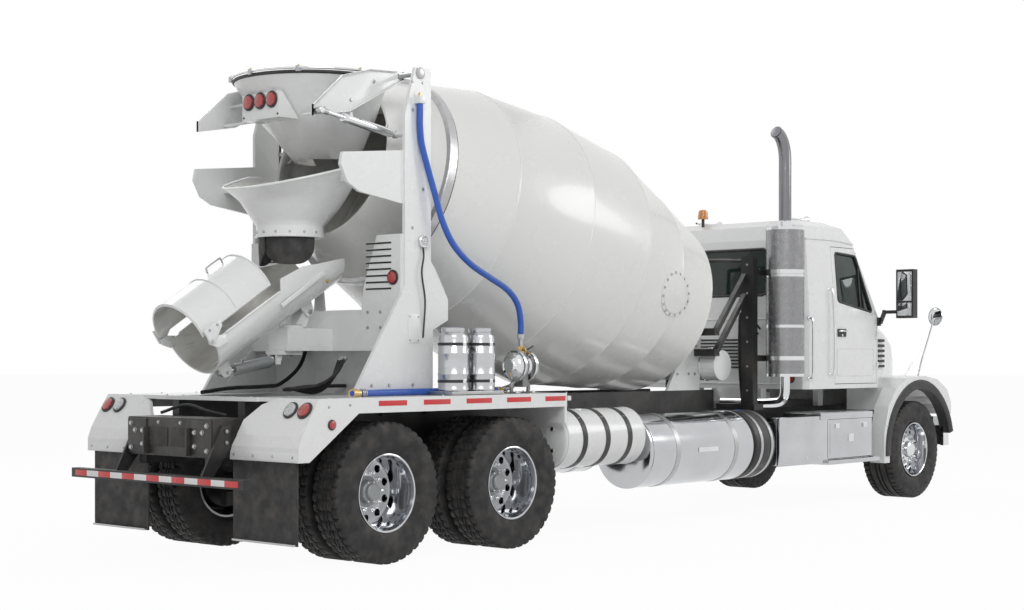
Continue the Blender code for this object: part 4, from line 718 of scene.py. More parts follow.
def funnel(name, body, sections, clip_x, rear_drop, *replaced):
    """A smooth open funnel, its inside grey from concrete, cut off behind the drum's mouth."""
    shape = Piece(name, body, WHITE, CHANNEL)
    steps = 72
    rows = []
    levels = 5
    for index in range((len(sections) - 1) * levels + 1):
        low = min(index // levels, len(sections) - 2)
        share = index / levels - low
        a, b = sections[low], sections[low + 1]
        rows.append((*(p + (q - p) * share for p, q in zip(a, b)), index))
    grids = []
    for inset in (0.0, SHEET):
        grid = []
        for centre, radius, height, index in rows:
            radius -= inset
            reach = max(-1.0, min(1.0, (clip_x - centre) / radius))
            stop = math.acos(reach)
            ring = []
            for k in range(steps + 1):
                angle = stop + (math.tau - 2 * stop) * k / steps
                drop = rear_drop * max(0.0, -math.cos(angle)) * max(0.0, 1 - index / levels)
                ring.append(shape.mesh.verts.new(at(centre + radius * math.cos(angle), radius * math.sin(angle), height - drop)))
            grid.append(ring)
        grids.append(grid)
    outer, inner = grids
    for grid, slot in ((outer, 0), (inner, 1)):
        for a, b in zip(grid, grid[1:]):
            for k in range(steps):
                shape.mesh.faces.new((a[k], a[k + 1], b[k + 1], b[k])).material_index = slot
    for row in (0, -1):
        for k in range(steps):
            shape.mesh.faces.new((outer[row][k], outer[row][k + 1], inner[row][k + 1], inner[row][k]))
    for k in (0, -1):
        for a, b, c, d in zip(outer, outer[1:], inner[1:], inner):
            shape.mesh.faces.new((a[k], b[k], c[k], d[k]))
    bmesh.ops.recalc_face_normals(shape.mesh, faces=shape.mesh.faces)
    for face in shape.mesh.faces:
        face.smooth = True
    return shape.done(*replaced, sharp=50)


def rim_line(sections, clip_x, lift, out, rear_drop=0.0, margin=0.06, count=36):
    centre, radius, height = sections[0]
    stop = math.acos(max(-1, min(1, (clip_x - centre) / radius))) + margin
    points = []
    for k in range(count + 1):
        angle = stop + (math.tau - 2 * stop) * k / count
        drop = rear_drop * max(0.0, -math.cos(angle))
        points.append(at(centre + (radius + out) * math.cos(angle), (radius + out) * math.sin(angle), height - drop + lift))
    return points


def charge_hopper():
    funnel("hopper_funnel", "charge_hopper", HOPPER_SECTIONS, 0.585, 0.0, "hopper")
    trim = Piece("hopper_rim", "charge_hopper", BLACK_PLASTIC, CHROME, BRASS, STEEL)
    trim.tube(rim_line(HOPPER_SECTIONS, 0.585, 0.006, -0.004), 0.014, 0, 12, 1)
    pipe = rim_line(HOPPER_SECTIONS, 0.585, 0.033, 0.012, margin=0.25)
    trim.tube(pipe, 0.0105, 1, 12, 1)
    for k in (3, 11, 18, 25, 33):
        spot = pipe[k]
        trim.block((spot.x - ORIGIN_X - 0.018, spot.x - ORIGIN_X + 0.018), (spot.y - 0.018, spot.y + 0.018), (spot.z - 0.03, spot.z + 0.014), 3)
        trim.rod(spot + Vector((0, 0, 0.0)), spot + Vector((0, 0, 0.024)), 0.009, 2, 6)
    trim.done()
    arms = Piece("hopper_arms", "charge_hopper", WHITE, STEEL, BLACK)
    outline = [(0.60, 3.72), (0.66, 3.72), (0.66, 3.66), (0.10, 3.36), (-0.27, 3.29), (-0.27, 3.37), (0.02, 3.62), (0.30, 3.70)]
    for side in SIDES.values():
        corners = [at(x, side * 0.662, z) for x, z in outline]
        arms.plate(corners, Vector((0, side * 0.010, 0)), 0)
        for (x0, z0), (x1, z1) in zip(outline, outline[1:] + outline[:1]):
            if x0 == 0.60:
                continue
            a, b = at(x0, side * 0.672, z0), at(x1, side * 0.672, z1)
            inward = Vector((0, 0, 0.006))
            arms.plate([a, b, b + Vector((0, side * 0.022, 0)), a + Vector((0, side * 0.022, 0))], inward, 0, 0.001)
        arms.rod(at(0.63, side * 0.655, 3.69), at(0.63, side * 0.866, 3.69), 0.02, 1)
        arms.block((0.28, 0.46), (side * 0.60, side * 0.668), (3.615, 3.65))
        for x, z in ((0.12, 3.45), (-0.14, 3.36), (0.36, 3.62)):
            arms.bolt(at(x, side * 0.674, z), LEFT * side, 0.011, 1)
    arms.rod(at(-0.24, -0.66, 3.33), at(-0.24, -0.722, 3.33), 0.022, 1)
    for z in (3.36, 3.52):
        arms.tube([at(-0.02 if z < 3.4 else 0.05, y, z) for y in (-0.66, -0.3)], 0.012, 0, 10, 1)
        arms.tube([at(-0.02 if z < 3.4 else 0.05, y, z) for y in (0.3, 0.66)], 0.012, 0, 10, 1)
    arms.done()
    ladder = Piece("hopper_ladder", "charge_hopper", STEEL)
    for k in range(5):
        z = 3.16 + 0.10 * k
        share = (z - 3.06) / 0.60
        radius = 0.27 + (0.64 - 0.27) * share - 0.03
        centre = 0.50 + (0.36 - 0.50) * share
        spots = [at(centre + radius * math.cos(a), radius * math.sin(a), z) for a in (2.25, 2.45, 2.65)]
        ladder.tube(spots, 0.009, 0, 10, 3)
    ladder.done()
    lamps = Piece("hopper_lamp_box", "charge_hopper", WHITE, BLACK_PLASTIC, RED_LENS)
    face_x, half = -0.195, 0.22
    profile = [(face_x, 3.335), (face_x, 3.535), (-0.166, 3.535), (-0.008, 3.35), (-0.008, 3.335)]
    lamps.plate([at(x, -half, z) for x, z in profile], LEFT * 2 * half, 0, 0.003)
    for y in (-0.135, 0.0, 0.135):
        round_lamp(lamps, at(face_x, y, 3.475), -FORWARD, 0.052, 2)
    for y in (-0.2, 0.2):
        lamps.bolt(at(face_x, y, 3.36), -FORWARD, 0.007, 1)
    lamps.done()


def hydraulic_ram(prefix, foot, eye, barrel_radius, share, barrel_paint):
    """A cylinder with its gland and ports, and its bright rod."""
    along = (eye - foot).normalized()
    length = (eye - foot).length
    barrel = Piece(f"{prefix}_cylinder", f"{prefix}_foot", barrel_paint, CHROME, STEEL)
    r = barrel_radius
    barrel.lathe(
        [
            (0.012, 0), (0.012, r * 0.62), (0.05, r * 0.62), (0.052, r * 0.92), (0.06, r), (length * share - 0.05, r * 0.96),
            (length * share - 0.048, r * 1.0), (length * share - 0.006, r * 1.0), (length * share, r * 0.9),
            (length * share, r * 0.5),
        ],
        foot, along, 0, 40, closed=False,
    )
    barrel.rod(foot - LEFT * 0.019, foot + LEFT * 0.019, r * 0.8, 2, 24)
    for place in (0.09, length * share - 0.09):
        spot = foot + along * place + UP * r * 0.8
        barrel.rod(spot, spot + UP * 0.03, 0.011, 1, 6)
    barrel.done(f"{prefix}_barrel")
    shaft = Piece(f"{prefix}_shaft", f"{prefix}_piston", CHROME, STEEL)
    shaft.lathe([(0.1, 0), (0.1, r * 0.46), (length - 0.03, r * 0.46), (length - 0.03, 0)], foot, along, 0, 32)
    shaft.rod(foot + along * (length - 0.07), foot + along * (length - 0.012), r * 0.62, 1, 24)
    shaft.rod(eye - LEFT * 0.019, eye + LEFT * 0.019, r * 0.75, 1, 24)
    shaft.done(f"{prefix}_rod")




# ================================================================== discharge end
def round_lamp(piece, place, direction, radius, lens_slot, ring_slot=1):
    """A sealed lamp in its rubber ring."""
    direction = Vector(direction).normalized()
    ring = [(0, 0), (0, radius * 1.22), (radius * 0.12, radius * 1.26), (radius * 0.26, radius * 1.18), (radius * 0.26, 0)]
    piece.lathe(ring, place, direction, ring_slot, 40)
    glass = [(radius * 0.2, 0), (radius * 0.2, radius), (radius * 0.42, radius * 0.94), (radius * 0.5, radius * 0.7), (radius * 0.53, 0)]
    piece.lathe(glass, place, direction, lens_slot, 40)


def collector():
    funnel("collector_funnel", "chassis", COLLECTOR_SECTIONS, 0.33, 0.17, "collector")
    trim = Piece("collector_trim", "chassis", WHITE, STEEL, BLACK)
    edge = rim_line(COLLECTOR_SECTIONS, 0.33, 0.0, -0.006, 0.17)
    trim.tube(edge, 0.011, 0, 12, 1)
    for side in SIDES.values():
        trim.block((0.12, 0.26), (side * 0.552, side * 0.8495), (2.842, 2.898), 0, 0.006)
        for x in (0.15, 0.23):
            trim.bolt(at(x, side * 0.72, 2.898), UP, 0.011, 1)
    trim.ring(at(0.10, 0, 2.442), UP, 0.263, 0.008, 0, 48)
    for k in range(9):
        angle = math.radians(82 + 24.5 * k)
        out = Vector((math.cos(angle), math.sin(angle), 0))
        trim.bolt(at(0.10, 0, 2.474) + out * 0.2645, out, 0.009, 1)
    trim.done()
    curtain = Piece("spout_flaps", "chassis", FLAP)
    for start, end, drop in ((76, 176, 0.0), (172, 284, 0.012)):
        rings = []
        count = 22
        for k in range(count + 1):
            angle = math.radians(start + (end - start) * k / count)
            share = abs(2 * k / count - 1)
            out = Vector((math.cos(angle), math.sin(angle), 0))
            low = 2.222 + 0.11 * share ** 3
            radius = 0.2475 - drop
            rings.append([
                at(0.10, 0, 2.494) + out * radius, at(0.10, 0, 2.494) + out * (radius - 0.008),
                at(0.10, 0, 2.36) + out * (radius - 0.010 - 0.006 * share), at(0.10, 0, low) + out * (radius - 0.018),
                at(0.10, 0, low) + out * (radius - 0.010), at(0.10, 0, 2.36) + out * (radius - 0.001 - 0.006 * share),
            ])
        curtain.rings(rings)
    curtain.done("spout_curtain")


CHUTE_SLOPE = math.radians(32)
CHUTE_END = (-0.85, 0.0, 1.62)
CHUTE_WALL = 0.010
FOLD_RISE = 0.085


def chute_at(along, square, y=0.0):
    """A point by distance up the chute's rim line, distance square to it, and distance across."""
    c, s = math.cos(CHUTE_SLOPE), math.sin(CHUTE_SLOPE)
    return at(CHUTE_END[0] + along * c - square * s, y, CHUTE_END[2] + along * s + square * c)


def chute_radius(along):
    return 0.27 + 0.05 * along / 1.40


def chute_wall_top(along):
    """Height of the side walls over the rim line."""
    if along < 0.72:
        return 0.012
    if along < 0.765:
        return 0.012 + 0.078 * (along - 0.72) / 0.045
    straight = 0.09 - 0.078 * (along - 0.765) / 0.635
    return min(straight, 0.06 - 0.393 * (along - 1.0))


def trough(piece, stations, radius_at, top_at, base, way, slots=(0, 1)):
    """A smooth U of sheet; way is 1 for one open upwards and -1 for one lying upside down."""
    steps = 36
    grids = []
    for inset in (0.0, CHUTE_WALL):
        grid = []
        for along in stations:
            radius, top = radius_at(along), top_at(along)
            start = math.asin(max(-1.0, min(0.0, top / radius)))
            ring = [(top, 1.0 if top > 0 else math.cos(start))]
            for k in range(steps + 1):
                angle = start - (math.pi + 2 * start) * k / steps
                ring.append((math.sin(angle), math.cos(angle)))
            ring.append((top, -ring[0][1]))
            points = []
            for i, (rise, share) in enumerate(ring):
                reach = radius - inset
                height = rise if i in (0, steps + 2) else rise * reach
                points.append(piece.mesh.verts.new(chute_at(along, base + way * height, share * reach)))
            grid.append(points)
        grids.append(grid)
    outer, inner = grids
    last = len(outer[0]) - 1
    made = []
    for grid, slot in ((outer, slots[0]), (inner, slots[1])):
        for a, b in zip(grid, grid[1:]):
            for k in range(last):
                face = piece.mesh.faces.new((a[k], a[k + 1], b[k + 1], b[k]))
                face.material_index = slot
                made.append(face)
    for row in (0, -1):
        for k in range(last):
            made.append(piece.mesh.faces.new((outer[row][k], outer[row][k + 1], inner[row][k + 1], inner[row][k])))
    for k in (0, last):
        for a, b, c, d in zip(outer, outer[1:], inner[1:], inner):
            made.append(piece.mesh.faces.new((a[k], b[k], c[k], d[k])))
    bmesh.ops.remove_doubles(piece.mesh, verts=[v for g in grids for ring in g for v in ring], dist=1e-6)
    live = [face for face in made if face.is_valid]
    bmesh.ops.recalc_face_normals(piece.mesh, faces=live)
    for face in live:
        face.smooth = True


def spaced(start, end, count):
    return [start + (end - start) * k / count for k in range(count + 1)]


def cheek(piece, corners, side, near, far, slot=0, bevel=0.002):
    piece.plate([chute_at(a, n, side * near) for a, n in corners], LEFT * side * (far - near), slot, bevel)


def main_chute():
    body = "discharge_chute"
    shape = Piece("main_chute_trough", body, WHITE, CHANNEL)
    stations = spaced(0.0, 0.72, 12) + [0.735, 0.75] + spaced(0.765, 1.0, 4) + spaced(1.04, 1.40, 9)
    trough(shape, stations, chute_radius, chute_wall_top, 0.0, 1)
    shape.done("main_chute", sharp=40)
    trim = Piece("main_chute_trim", body, WHITE, STEEL, BLACK, BRASS)
    for side in SIDES.values():
        edge = [chute_at(a, 0.010, side * (chute_radius(a) + 0.004)) for a in spaced(0.12, 0.70, 6)]
        trim.tube(edge, 0.009, 0, 10, 2)
        cheek(trim, ((0.10, -0.05), (0.10, 0.0), (0.02, 0.05), (-0.05, 0.053), (-0.06, 0.015), (0.0, -0.05)), side, 0.276, 0.290)
        cheek(trim, ((0.09, -0.04), (0.09, -0.005), (0.01, -0.005), (0.01, -0.04)), side, 0.262, 0.278)
        trim.lathe([(0, 0), (0, 0.02), (0.004, 0.021), (0.008, 0.018), (0.008, 0)], chute_at(-0.04, 0.033, side * 0.288), LEFT * side, 1, 24)
        cheek(trim, ((0.66, -0.10), (1.16, -0.10), (1.16, -0.07), (0.66, -0.07)), side, chute_radius(0.9) - 0.006, chute_radius(0.9) + 0.012, 0)
        trim.bolt(chute_at(1.16, -0.16, side * (chute_radius(1.16) - 0.012)), LEFT * side, 0.012, 3)
        for near, far in ((0.0723, 0.092),):
            cheek(trim, ((0.98, -0.285), (1.10, -0.285), (1.082, -0.38), (1.04, -0.395), (0.998, -0.38)), side, near, far)
        trim.rod(chute_at(1.04, -0.36, side * 0.070), chute_at(1.04, -0.36, side * 0.106), 0.018, 1, 20)
        cheek(trim, ((0.069, -0.26), (0.189, -0.26), (0.171, -0.365), (0.129, -0.38), (0.087, -0.365)), side, 0.034, 0.05)
        trim.rod(chute_at(0.129, -0.345, side * 0.030), chute_at(0.129, -0.345, side * 0.06), 0.013, 1, 20)
    band = []
    for a, thick in ((0.0, 0.004), (0.03, 0.004)):
        band.append([chute_at(a, -math.sin(t) * (chute_radius(a) + thick), math.cos(t) * (chute_radius(a) + thick)) for t in spaced(0.12, math.pi - 0.12, 30)])
    for row, inner in ((0, -0.002), (1, -0.002)):
        band.append([chute_at((0.03, 0.0)[row], -math.sin(t) * (chute_radius(0) + inner), math.cos(t) * (chute_radius(0) + inner)) for t in spaced(0.12, math.pi - 0.12, 30)])
    grid = [[trim.mesh.verts.new(p) for p in row] for row in band]
    made = []
    for a, b in zip(grid, grid[1:] + grid[:1]):
        for k in range(30):
            made.append(trim.mesh.faces.new((a[k], a[k + 1], b[k + 1], b[k])))
    made.append(trim.mesh.faces.new([row[0] for row in grid]))
    made.append(trim.mesh.faces.new([row[-1] for row in grid]))
    bmesh.ops.recalc_face_normals(trim.mesh, faces=made)
    trim.done()


def fold_chute():
    body = "extension_chute"
    shape = Piece("fold_chute_trough", body, WHITE, CHANNEL)
    trough(shape, spaced(-0.07, 0.68, 14), lambda a: 0.269, lambda a: 0.004, FOLD_RISE + 0.004, -1)
    shape.done("fold_chute", sharp=40)
    trim = Piece("fold_chute_trim", body, WHITE, STEEL, BLACK)
    for side in SIDES.values():
        edge = [chute_at(a, FOLD_RISE + 0.012, side * 0.270) for a in spaced(0.12, 0.66, 4)]
        trim.tube(edge, 0.008, 0, 10, 2)
        cheek(trim, ((0.10, FOLD_RISE + 0.05), (0.10, FOLD_RISE), (-0.02, 0.013), (-0.06, 0.023), (-0.066, FOLD_RISE + 0.05)), side, 0.295, 0.311)
        cheek(trim, ((0.09, FOLD_RISE + 0.042), (0.09, FOLD_RISE + 0.012), (-0.03, FOLD_RISE + 0.012), (-0.03, FOLD_RISE + 0.042)), side, 0.255, 0.30)
        trim.rod(chute_at(-0.04, 0.033, side * 0.2903), chute_at(-0.04, 0.033, side * 0.318), 0.012, 1, 20)
        trim.bolt(chute_at(0.06, FOLD_RISE + 0.026, side * 0.311), LEFT * side, 0.009, 1)
        trim.bolt(chute_at(-0.02, FOLD_RISE + 0.026, side * 0.311), LEFT * side, 0.009, 1)
    for a in (-0.06, 0.305, 0.67):
        rib = [chute_at(a, FOLD_RISE + 0.004 + math.sin(t) * 0.272, math.cos(t) * 0.272) for t in spaced(0.1, math.pi - 0.1, 28)]
        trim.tube(rib, 0.006, 0, 8, 1)
    handle = [chute_at(a, FOLD_RISE + n, 0.0) for a, n in ((0.40, 0.268), (0.40, 0.30), (0.42, 0.315), (0.54, 0.315), (0.56, 0.30), (0.56, 0.268))]
    trim.tube(handle, 0.008, 1, 10, 3)
    trim.done()


def swivel():
    body = "chute_turntable"
    soften("chute_swivel", 0.003)
    trim = Piece("swivel_trim", body, WHITE, STEEL, CAST)
    trim.lathe([(0, 0.046), (0, 0.10), (0.006, 0.104), (0.018, 0.104), (0.0225, 0.099), (0.0225, 0.046)], at(0.10, 0, 1.7355), UP, 2, 64, closed=True)
    for k in range(12):
        if k % 6:
            angle = math.tau * k / 12
            trim.bolt(at(0.10 + 0.086 * math.cos(angle), 0.086 * math.sin(angle), 1.757), UP, 0.008, 1)
    trim.bolt(at(0.10, 0, 1.5345), -UP, 0.024, 1)
    trim.done()


# ================================================================== rear frame
def rear_frame():
    body = "chassis"
    soften("rear_pedestal", 0.003)
    soften("rear_fenders", 0.003)
    trim = Piece("rear_frame_trim", body, WHITE, STEEL, NEAR_BLACK_AND_PAINTED_SHADE, BLACK, CHROME)
    for side in SIDES.values():
        # vent louvres: the near-black strips between the white slats are painted shade in the slots
        for k in range(8):
            z = 2.03 + 0.05 * k
            trim.block((0.4375, 0.4405), (side * 0.50, side * 0.78), (z, z + 0.013), 2, 0.0)
            trim.block((0.434, 0.4405), (side * 0.50, side * 0.78), (z + 0.013, z + 0.017), 0, 0.001)
        for x, z in ((0.55, 3.62), (0.66, 3.62), (0.55, 3.40), (0.66, 3.10), (0.66, 2.80), (0.55, 2.50), (0.12, 1.30), (0.30, 1.30), (0.55, 1.30)):
            trim.bolt(at(x, side * 0.90, z), LEFT * side, 0.011, 1)
        for z in (1.86, 1.74):
            for y in (0.52, 0.66, 0.80):
                trim.bolt(at(0.4395, side * y, z), -FORWARD, 0.010, 1)
        trim.lathe([(0, 0), (0, 0.045), (0.008, 0.045), (0.014, 0.03), (0.014, 0)], at(0.63, side * 0.90, 3.69), LEFT * side, 1, 32)
        gusset = [at(0.10, side * 0.87, 1.2205), at(0.47, side * 0.87, 1.2205), at(0.47, side * 0.87, 1.62)]
        trim.plate(gusset, LEFT * -side * 0.012, 0)
        trim.tube([at(x, side * 0.868, z) for x, z in ((0.74, 1.30), (0.735, 2.2), (0.74, 3.5))], 0.011, 3, 10, 5)
        for z in (1.5, 2.0, 2.6, 3.2):
            trim.block((0.722, 0.75), (side * 0.853, side * 0.8695), (z, z + 0.03), 1, 0.002)
    # a small bolted cover on the right leg
    trim.block((0.50, 0.62), (-0.906, -0.8995), (1.62, 1.84), 0, 0.004)
    for x in (0.515, 0.605):
        for z in (1.64, 1.82):
            trim.bolt(at(x, -0.906, z), -LEFT, 0.006, 1)
    trim.done()
    gauge = Piece("rear_gauge", body, BLACK, CHROME, CLEAR_LENS, STEEL)
    gauge.lathe([(0, 0), (0, 0.046), (0.012, 0.05), (0.03, 0.05), (0.034, 0.046), (0.034, 0.040), (0.028, 0.038), (0.028, 0)], at(0.65, -0.90, 2.40), -LEFT, 1, 36)
    gauge.lathe([(0.027, 0), (0.027, 0.037), (0.030, 0.036), (0.030, 0)], at(0.65, -0.90, 2.40), -LEFT, 2, 36)
    for k in range(8):
        angle = math.tau * k / 8
        spot = at(0.65 + 0.03 * math.cos(angle), -0.9305, 2.40 + 0.03 * math.sin(angle))
        gauge.rod(spot, spot + Vector((0.006 * math.cos(angle), 0, 0.006 * math.sin(angle))), 0.0014, 0, 6)
    gauge.tube([at(0.65, -0.915, 2.35), at(0.65, -0.92, 2.28), at(0.62, -0.93, 2.15), at(0.66, -0.925, 1.95), at(0.66, -0.912, 1.75), at(0.66, -0.902, 1.66)], 0.007, 0, 10, 6)
    gauge.done()
    lamps = Piece("rear_lamps", body, WHITE, BLACK_PLASTIC, RED_LENS, CLEAR_LENS, STEEL)
    normal = Vector((-0.841, 0, 0.541))
    for side in SIDES.values():
        spot = at(-0.7646, side * 1.165, 1.135)
        round_lamp(lamps, spot, normal, 0.053, 2)
        round_lamp(lamps, at(-0.7646, side * 1.015, 1.135), normal, 0.053, 3)
        round_lamp(lamps, at(-0.595, side * 1.25, 1.035), LEFT * side, 0.030, 2)
        round_lamp(lamps, at(0.44, side * 0.80, 2.12 if side < 0 else 1.95), -FORWARD, 0.046, 2)
        round_lamp(lamps, at(5.925, side * 0.86, 1.30), -FORWARD, 0.040, 2)
        lamps.block((-0.905, -0.8995), (side * 0.515, side * 1.235), (0.786, 0.848), 0, 0.002)
        for y in (0.56, 0.77, 0.98, 1.19):
            lamps.bolt(at(-0.905, side * y, 0.817), -FORWARD, 0.008, 4)
        for x in (-0.55, -0.25, 0.1, 0.6, 1.1, 1.6, 2.05):
            lamps.bolt(at(x, side * 1.175, 1.22), UP, 0.007, 4)
        for x, z in ((-0.62, 1.16), (-0.42, 1.17)):
            lamps.bolt(at(x, side * 1.25, z), LEFT * side, 0.008, 4)
    lamps.done()
    tape = Piece("reflective_tape", body, RED_TAPE, WHITE_TAPE)
    for side in SIDES.values():
        for k in range(5):
            x = -0.14 + 0.46 * k
            tape.block((x, min(x + 0.285, 1.95)), (side * 1.2495, side * 1.2515), (1.158, 1.196), 0, 0.0006)
        tape.block((1.975, 2.02), (side * 1.2495, side * 1.2515), (1.158, 1.196), 1, 0.0006)
    width = 1.94 / 13
    for k in range(13):
        y = -0.97 + width * k
        tape.block((-1.2018, -1.1995), (y + 0.0008, y + width - 0.0008), (0.614, 0.657), k % 2, 0.0005)
    tape.done()


def tail_frame():
    """Bolts, plates and the hook bracket on the frame's rear cross box."""
    trim = Piece("tail_frame", "chassis", BLACK, STEEL, NEAR_BLACK_AND_PAINTED_SHADE)
    soften("chassis_frame", 0.004)
    soften("underride_bar", 0.006)
    low, high = at(-1.05, 0, 0.79), at(-1.05, 0, 1.07)
    for side in SIDES.values():
        trim.block((-1.062, -1.0495), (side * 0.27, side * 0.495), (0.80, 1.06), 0, 0.004)
        for y, z in ((0.31, 0.97), (0.40, 0.97), (0.31, 0.87), (0.45, 1.02), (0.45, 0.84)):
            trim.bolt(at(-1.062, side * y, z), -FORWARD, 0.016, 1)
        # near-black inset plate: painted shade in the cross box's opening
        trim.block((-1.056, -1.0495), (side * 0.02, side * 0.24), (0.86, 1.0), 2, 0.003)
        trim.bolt(at(-1.05, side * 0.13, 1.035), -FORWARD, 0.012, 1)
        trim.block((-1.10, -1.0495), (side * 0.245, side * 0.262), (0.80, 1.0), 0, 0.004)
        for z in (0.90, 0.98):
            trim.bolt(at(-0.945, side * 0.526, z), LEFT * side, 0.012, 1)
        flap = "mud_flap_right" if side < 0 else "mud_flap_left"
        soften(flap, 0.002)
        trim.block((-0.895, -0.8705), (side * 0.52, side * 1.19), (0.20, 0.215), 1, 0.002)
        for x in (0.2, 0.686, 1.17):
            trim.block((x - 0.04, x + 0.04), (side * 0.40, side * 0.47), (1.05, 1.15), 0, 0.005)
    for y in spaced(-0.5, 0.5, 5):
        trim.bolt(at(-0.70, y, 1.2205), UP, 0.008, 1)
    trim.tube([at(-0.96, 0.22, 1.10), at(-0.9, 0.0, 1.16), at(-0.9, -0.25, 1.12), at(-0.86, -0.42, 1.09)], 0.012, 2, 10, 6)
    trim.done()
    lines = Piece("hydraulic_lines", "chassis", HOSE, STEEL)
    for k, drop in enumerate((0.0, 0.03, 0.06)):
        route = [(0.42, -0.28 + drop, 1.50), (0.25, -0.36 + drop, 1.38 - drop), (0.05, -0.40 + drop, 1.30 - drop), (-0.10, -0.30 + drop, 1.27), (0.0, -0.12 + drop, 1.26), (0.30, -0.06 + drop, 1.28), (0.68, 0.0 + drop, 1.28)]
        lines.tube([at(*p) for p in route], 0.014, 0, 12, 6)
        lines.rod(at(0.43, -0.28 + drop, 1.51), at(0.40, -0.29 + drop, 1.48), 0.018, 1, 6)
    lines.tube([at(*p) for p in ((0.74, 0.5, 1.70), (0.60, 0.45, 1.45), (0.35, 0.40, 1.30), (0.10, 0.30, 1.28), (-0.25, 0.30, 1.27), (-0.60, 0.20, 1.245))], 0.016, 0, 12, 6)
    lines.done()


# ================================================================== water gear
def wash_cans():
    cans = Piece("wash_cans", "chassis", BRUSHED, CHROME, BLACK, STEEL)
    cans.block((0.66, 1.24), (-1.215, -0.965), (1.2205, 1.226), 3, 0.001)
    for y in (-1.215, -0.969):
        cans.block((0.66, 1.24), (y, y + 0.004), (1.2205, 1.25), 3, 0.001)
    for x in (0.66, 1.236):
        cans.block((x, x + 0.004), (-1.213, -0.967), (1.2205, 1.25), 3, 0.001)
    for x in (0.80, 1.10):
        base = at(x, -1.09, 1.24)
        profile = [
            (0, 0), (0, 0.110), (0.006, 0.117), (0.012, 0.1185), (0.03, 0.1185), (0.034, 0.1165), (0.13, 0.1165),
            (0.134, 0.119), (0.146, 0.119), (0.15, 0.1165), (0.29, 0.1165), (0.294, 0.119), (0.306, 0.119),
            (0.31, 0.1165), (0.42, 0.1165), (0.438, 0.112), (0.455, 0.094), (0.462, 0.088), (0.470, 0.088),
            (0.471, 0.092), (0.494, 0.092), (0.498, 0.086), (0.499, 0),
        ]
        cans.lathe(profile, base, UP, 0, 64)
        for z in (0.075, 0.36):
            cans.lathe([(z, 0.1168), (z, 0.1196), (z + 0.022, 0.1196), (z + 0.022, 0.1168)], base, UP, 2, 64, closed=True)
            cans.block((x - 0.018, x + 0.018), (-1.214, -1.205), (1.24 + z - 0.003, 1.265 + z), 1, 0.002)
        for way in (-1, 1):
            route = [base + Vector((way * 0.07, 0.03 * s, 0.45 + h)) for s, h in ((-1, 0.0), (-1, 0.035), (1, 0.035), (1, 0.0))]
            cans.tube(route, 0.006, 1, 8, 3)
        cans.lathe([(0.499, 0), (0.499, 0.02), (0.5, 0.02), (0.5, 0)], base, UP, 1, 24)
    cans.done("wash_cans")


def water_pump():
    """Two clamped round heads on a centre body, with its valve and outlet pipe."""
    body = "chassis"
    centre = at(1.66, -1.02, 1.44)
    pump = Piece("water_pump", body, CHROME, CAST, BRASS, BLACK, STEEL)
    for way in (-1, 1):
        head = [
            (0.03, 0), (0.03, 0.072), (0.048, 0.082), (0.05, 0.124), (0.056, 0.129), (0.074, 0.129), (0.08, 0.124),
            (0.082, 0.110), (0.10, 0.104), (0.12, 0.088), (0.132, 0.060), (0.136, 0.056), (0.148, 0.05), (0.149, 0),
        ]
        pump.lathe(head, centre, FORWARD * way, 0, 64)
        pump.ring(centre + FORWARD * way * 0.065, FORWARD, 0.1285, 0.0045, 4, 64)
        for k in range(8):
            angle = math.tau * (k + 0.5) / 8
            spot = centre + Vector((way * 0.082, 0.113 * math.cos(angle), 0.113 * math.sin(angle)))
            pump.bolt(spot, FORWARD * way, 0.0065, 4)
        for k in range(6):
            angle = math.tau * k / 6
            out = Vector((0, math.cos(angle), math.sin(angle)))
            a, b = centre + FORWARD * way * 0.086 + out * 0.104, centre + FORWARD * way * 0.130 + out * 0.058
            across = out.cross(FORWARD) * 0.004
            pump.plate([a - across, a + across, b + across, b - across], FORWARD * way * 0.010, 0, 0.001)
    pump.block((1.625, 1.695), (-1.075, -0.965), (1.27, 1.52), 1, 0.008)
    for x in (1.55, 1.75):
        pump.block((x - 0.02, x + 0.02), (-1.085, -0.955), (1.2205, 1.232), 4, 0.003)
        pump.tube([at(x, -1.02, 1.228), at(x, -1.02, 1.29), at(1.66 + (x - 1.66) * 0.3, -1.02, 1.33)], 0.016, 1, 12, 4)
        for y in (-1.07, -0.97):
            pump.bolt(at(x, y, 1.232), UP, 0.008, 4)
    pump.rod(at(1.66, -1.02, 1.50), at(1.66, -1.02, 1.6995), 0.020, 4)
    pump.rod(at(1.66, -1.02, 1.54), at(1.66, -1.02, 1.60), 0.0275, 2, 6)
    pump.rod(at(1.66, -1.02, 1.655), at(1.66, -1.02, 1.6995), 0.0275, 4, 6)
    pump.rod(at(1.66, -1.045, 1.57), at(1.66, -1.082, 1.57), 0.012, 2)
    pump.tube([at(1.66, -1.078, 1.57), at(1.69, -1.080, 1.578), at(1.745, -1.080, 1.60)], 0.007, 3, 10, 4)
    pump.rod(at(1.4597, -0.935, 1.2465), at(1.52, -0.935, 1.2465), 0.027, 2, 6)
    pump.rod(at(1.52, -0.935, 1.2465), at(1.63, -0.965, 1.28), 0.022, 4)
    pump.tube([at(1.66, -0.962, 1.50), at(1.66, -0.93, 1.53), at(1.70, -0.90, 1.50), at(1.73, -0.90, 1.40), at(1.72, -0.93, 1.31)], 0.012, 1, 12, 5)
    pump.done("water_pump")
    fitting = Piece("delivery_fittings", body, BRASS, STEEL, WHITE)
    fitting.block((0.568, 0.632), (-0.962, -0.896), (3.4505, 3.5095), 2, 0.005)
    fitting.rod(at(0.60, -0.93, 3.508), at(0.60, -0.93, 3.535), 0.012, 0, 6)
    fitting.done()


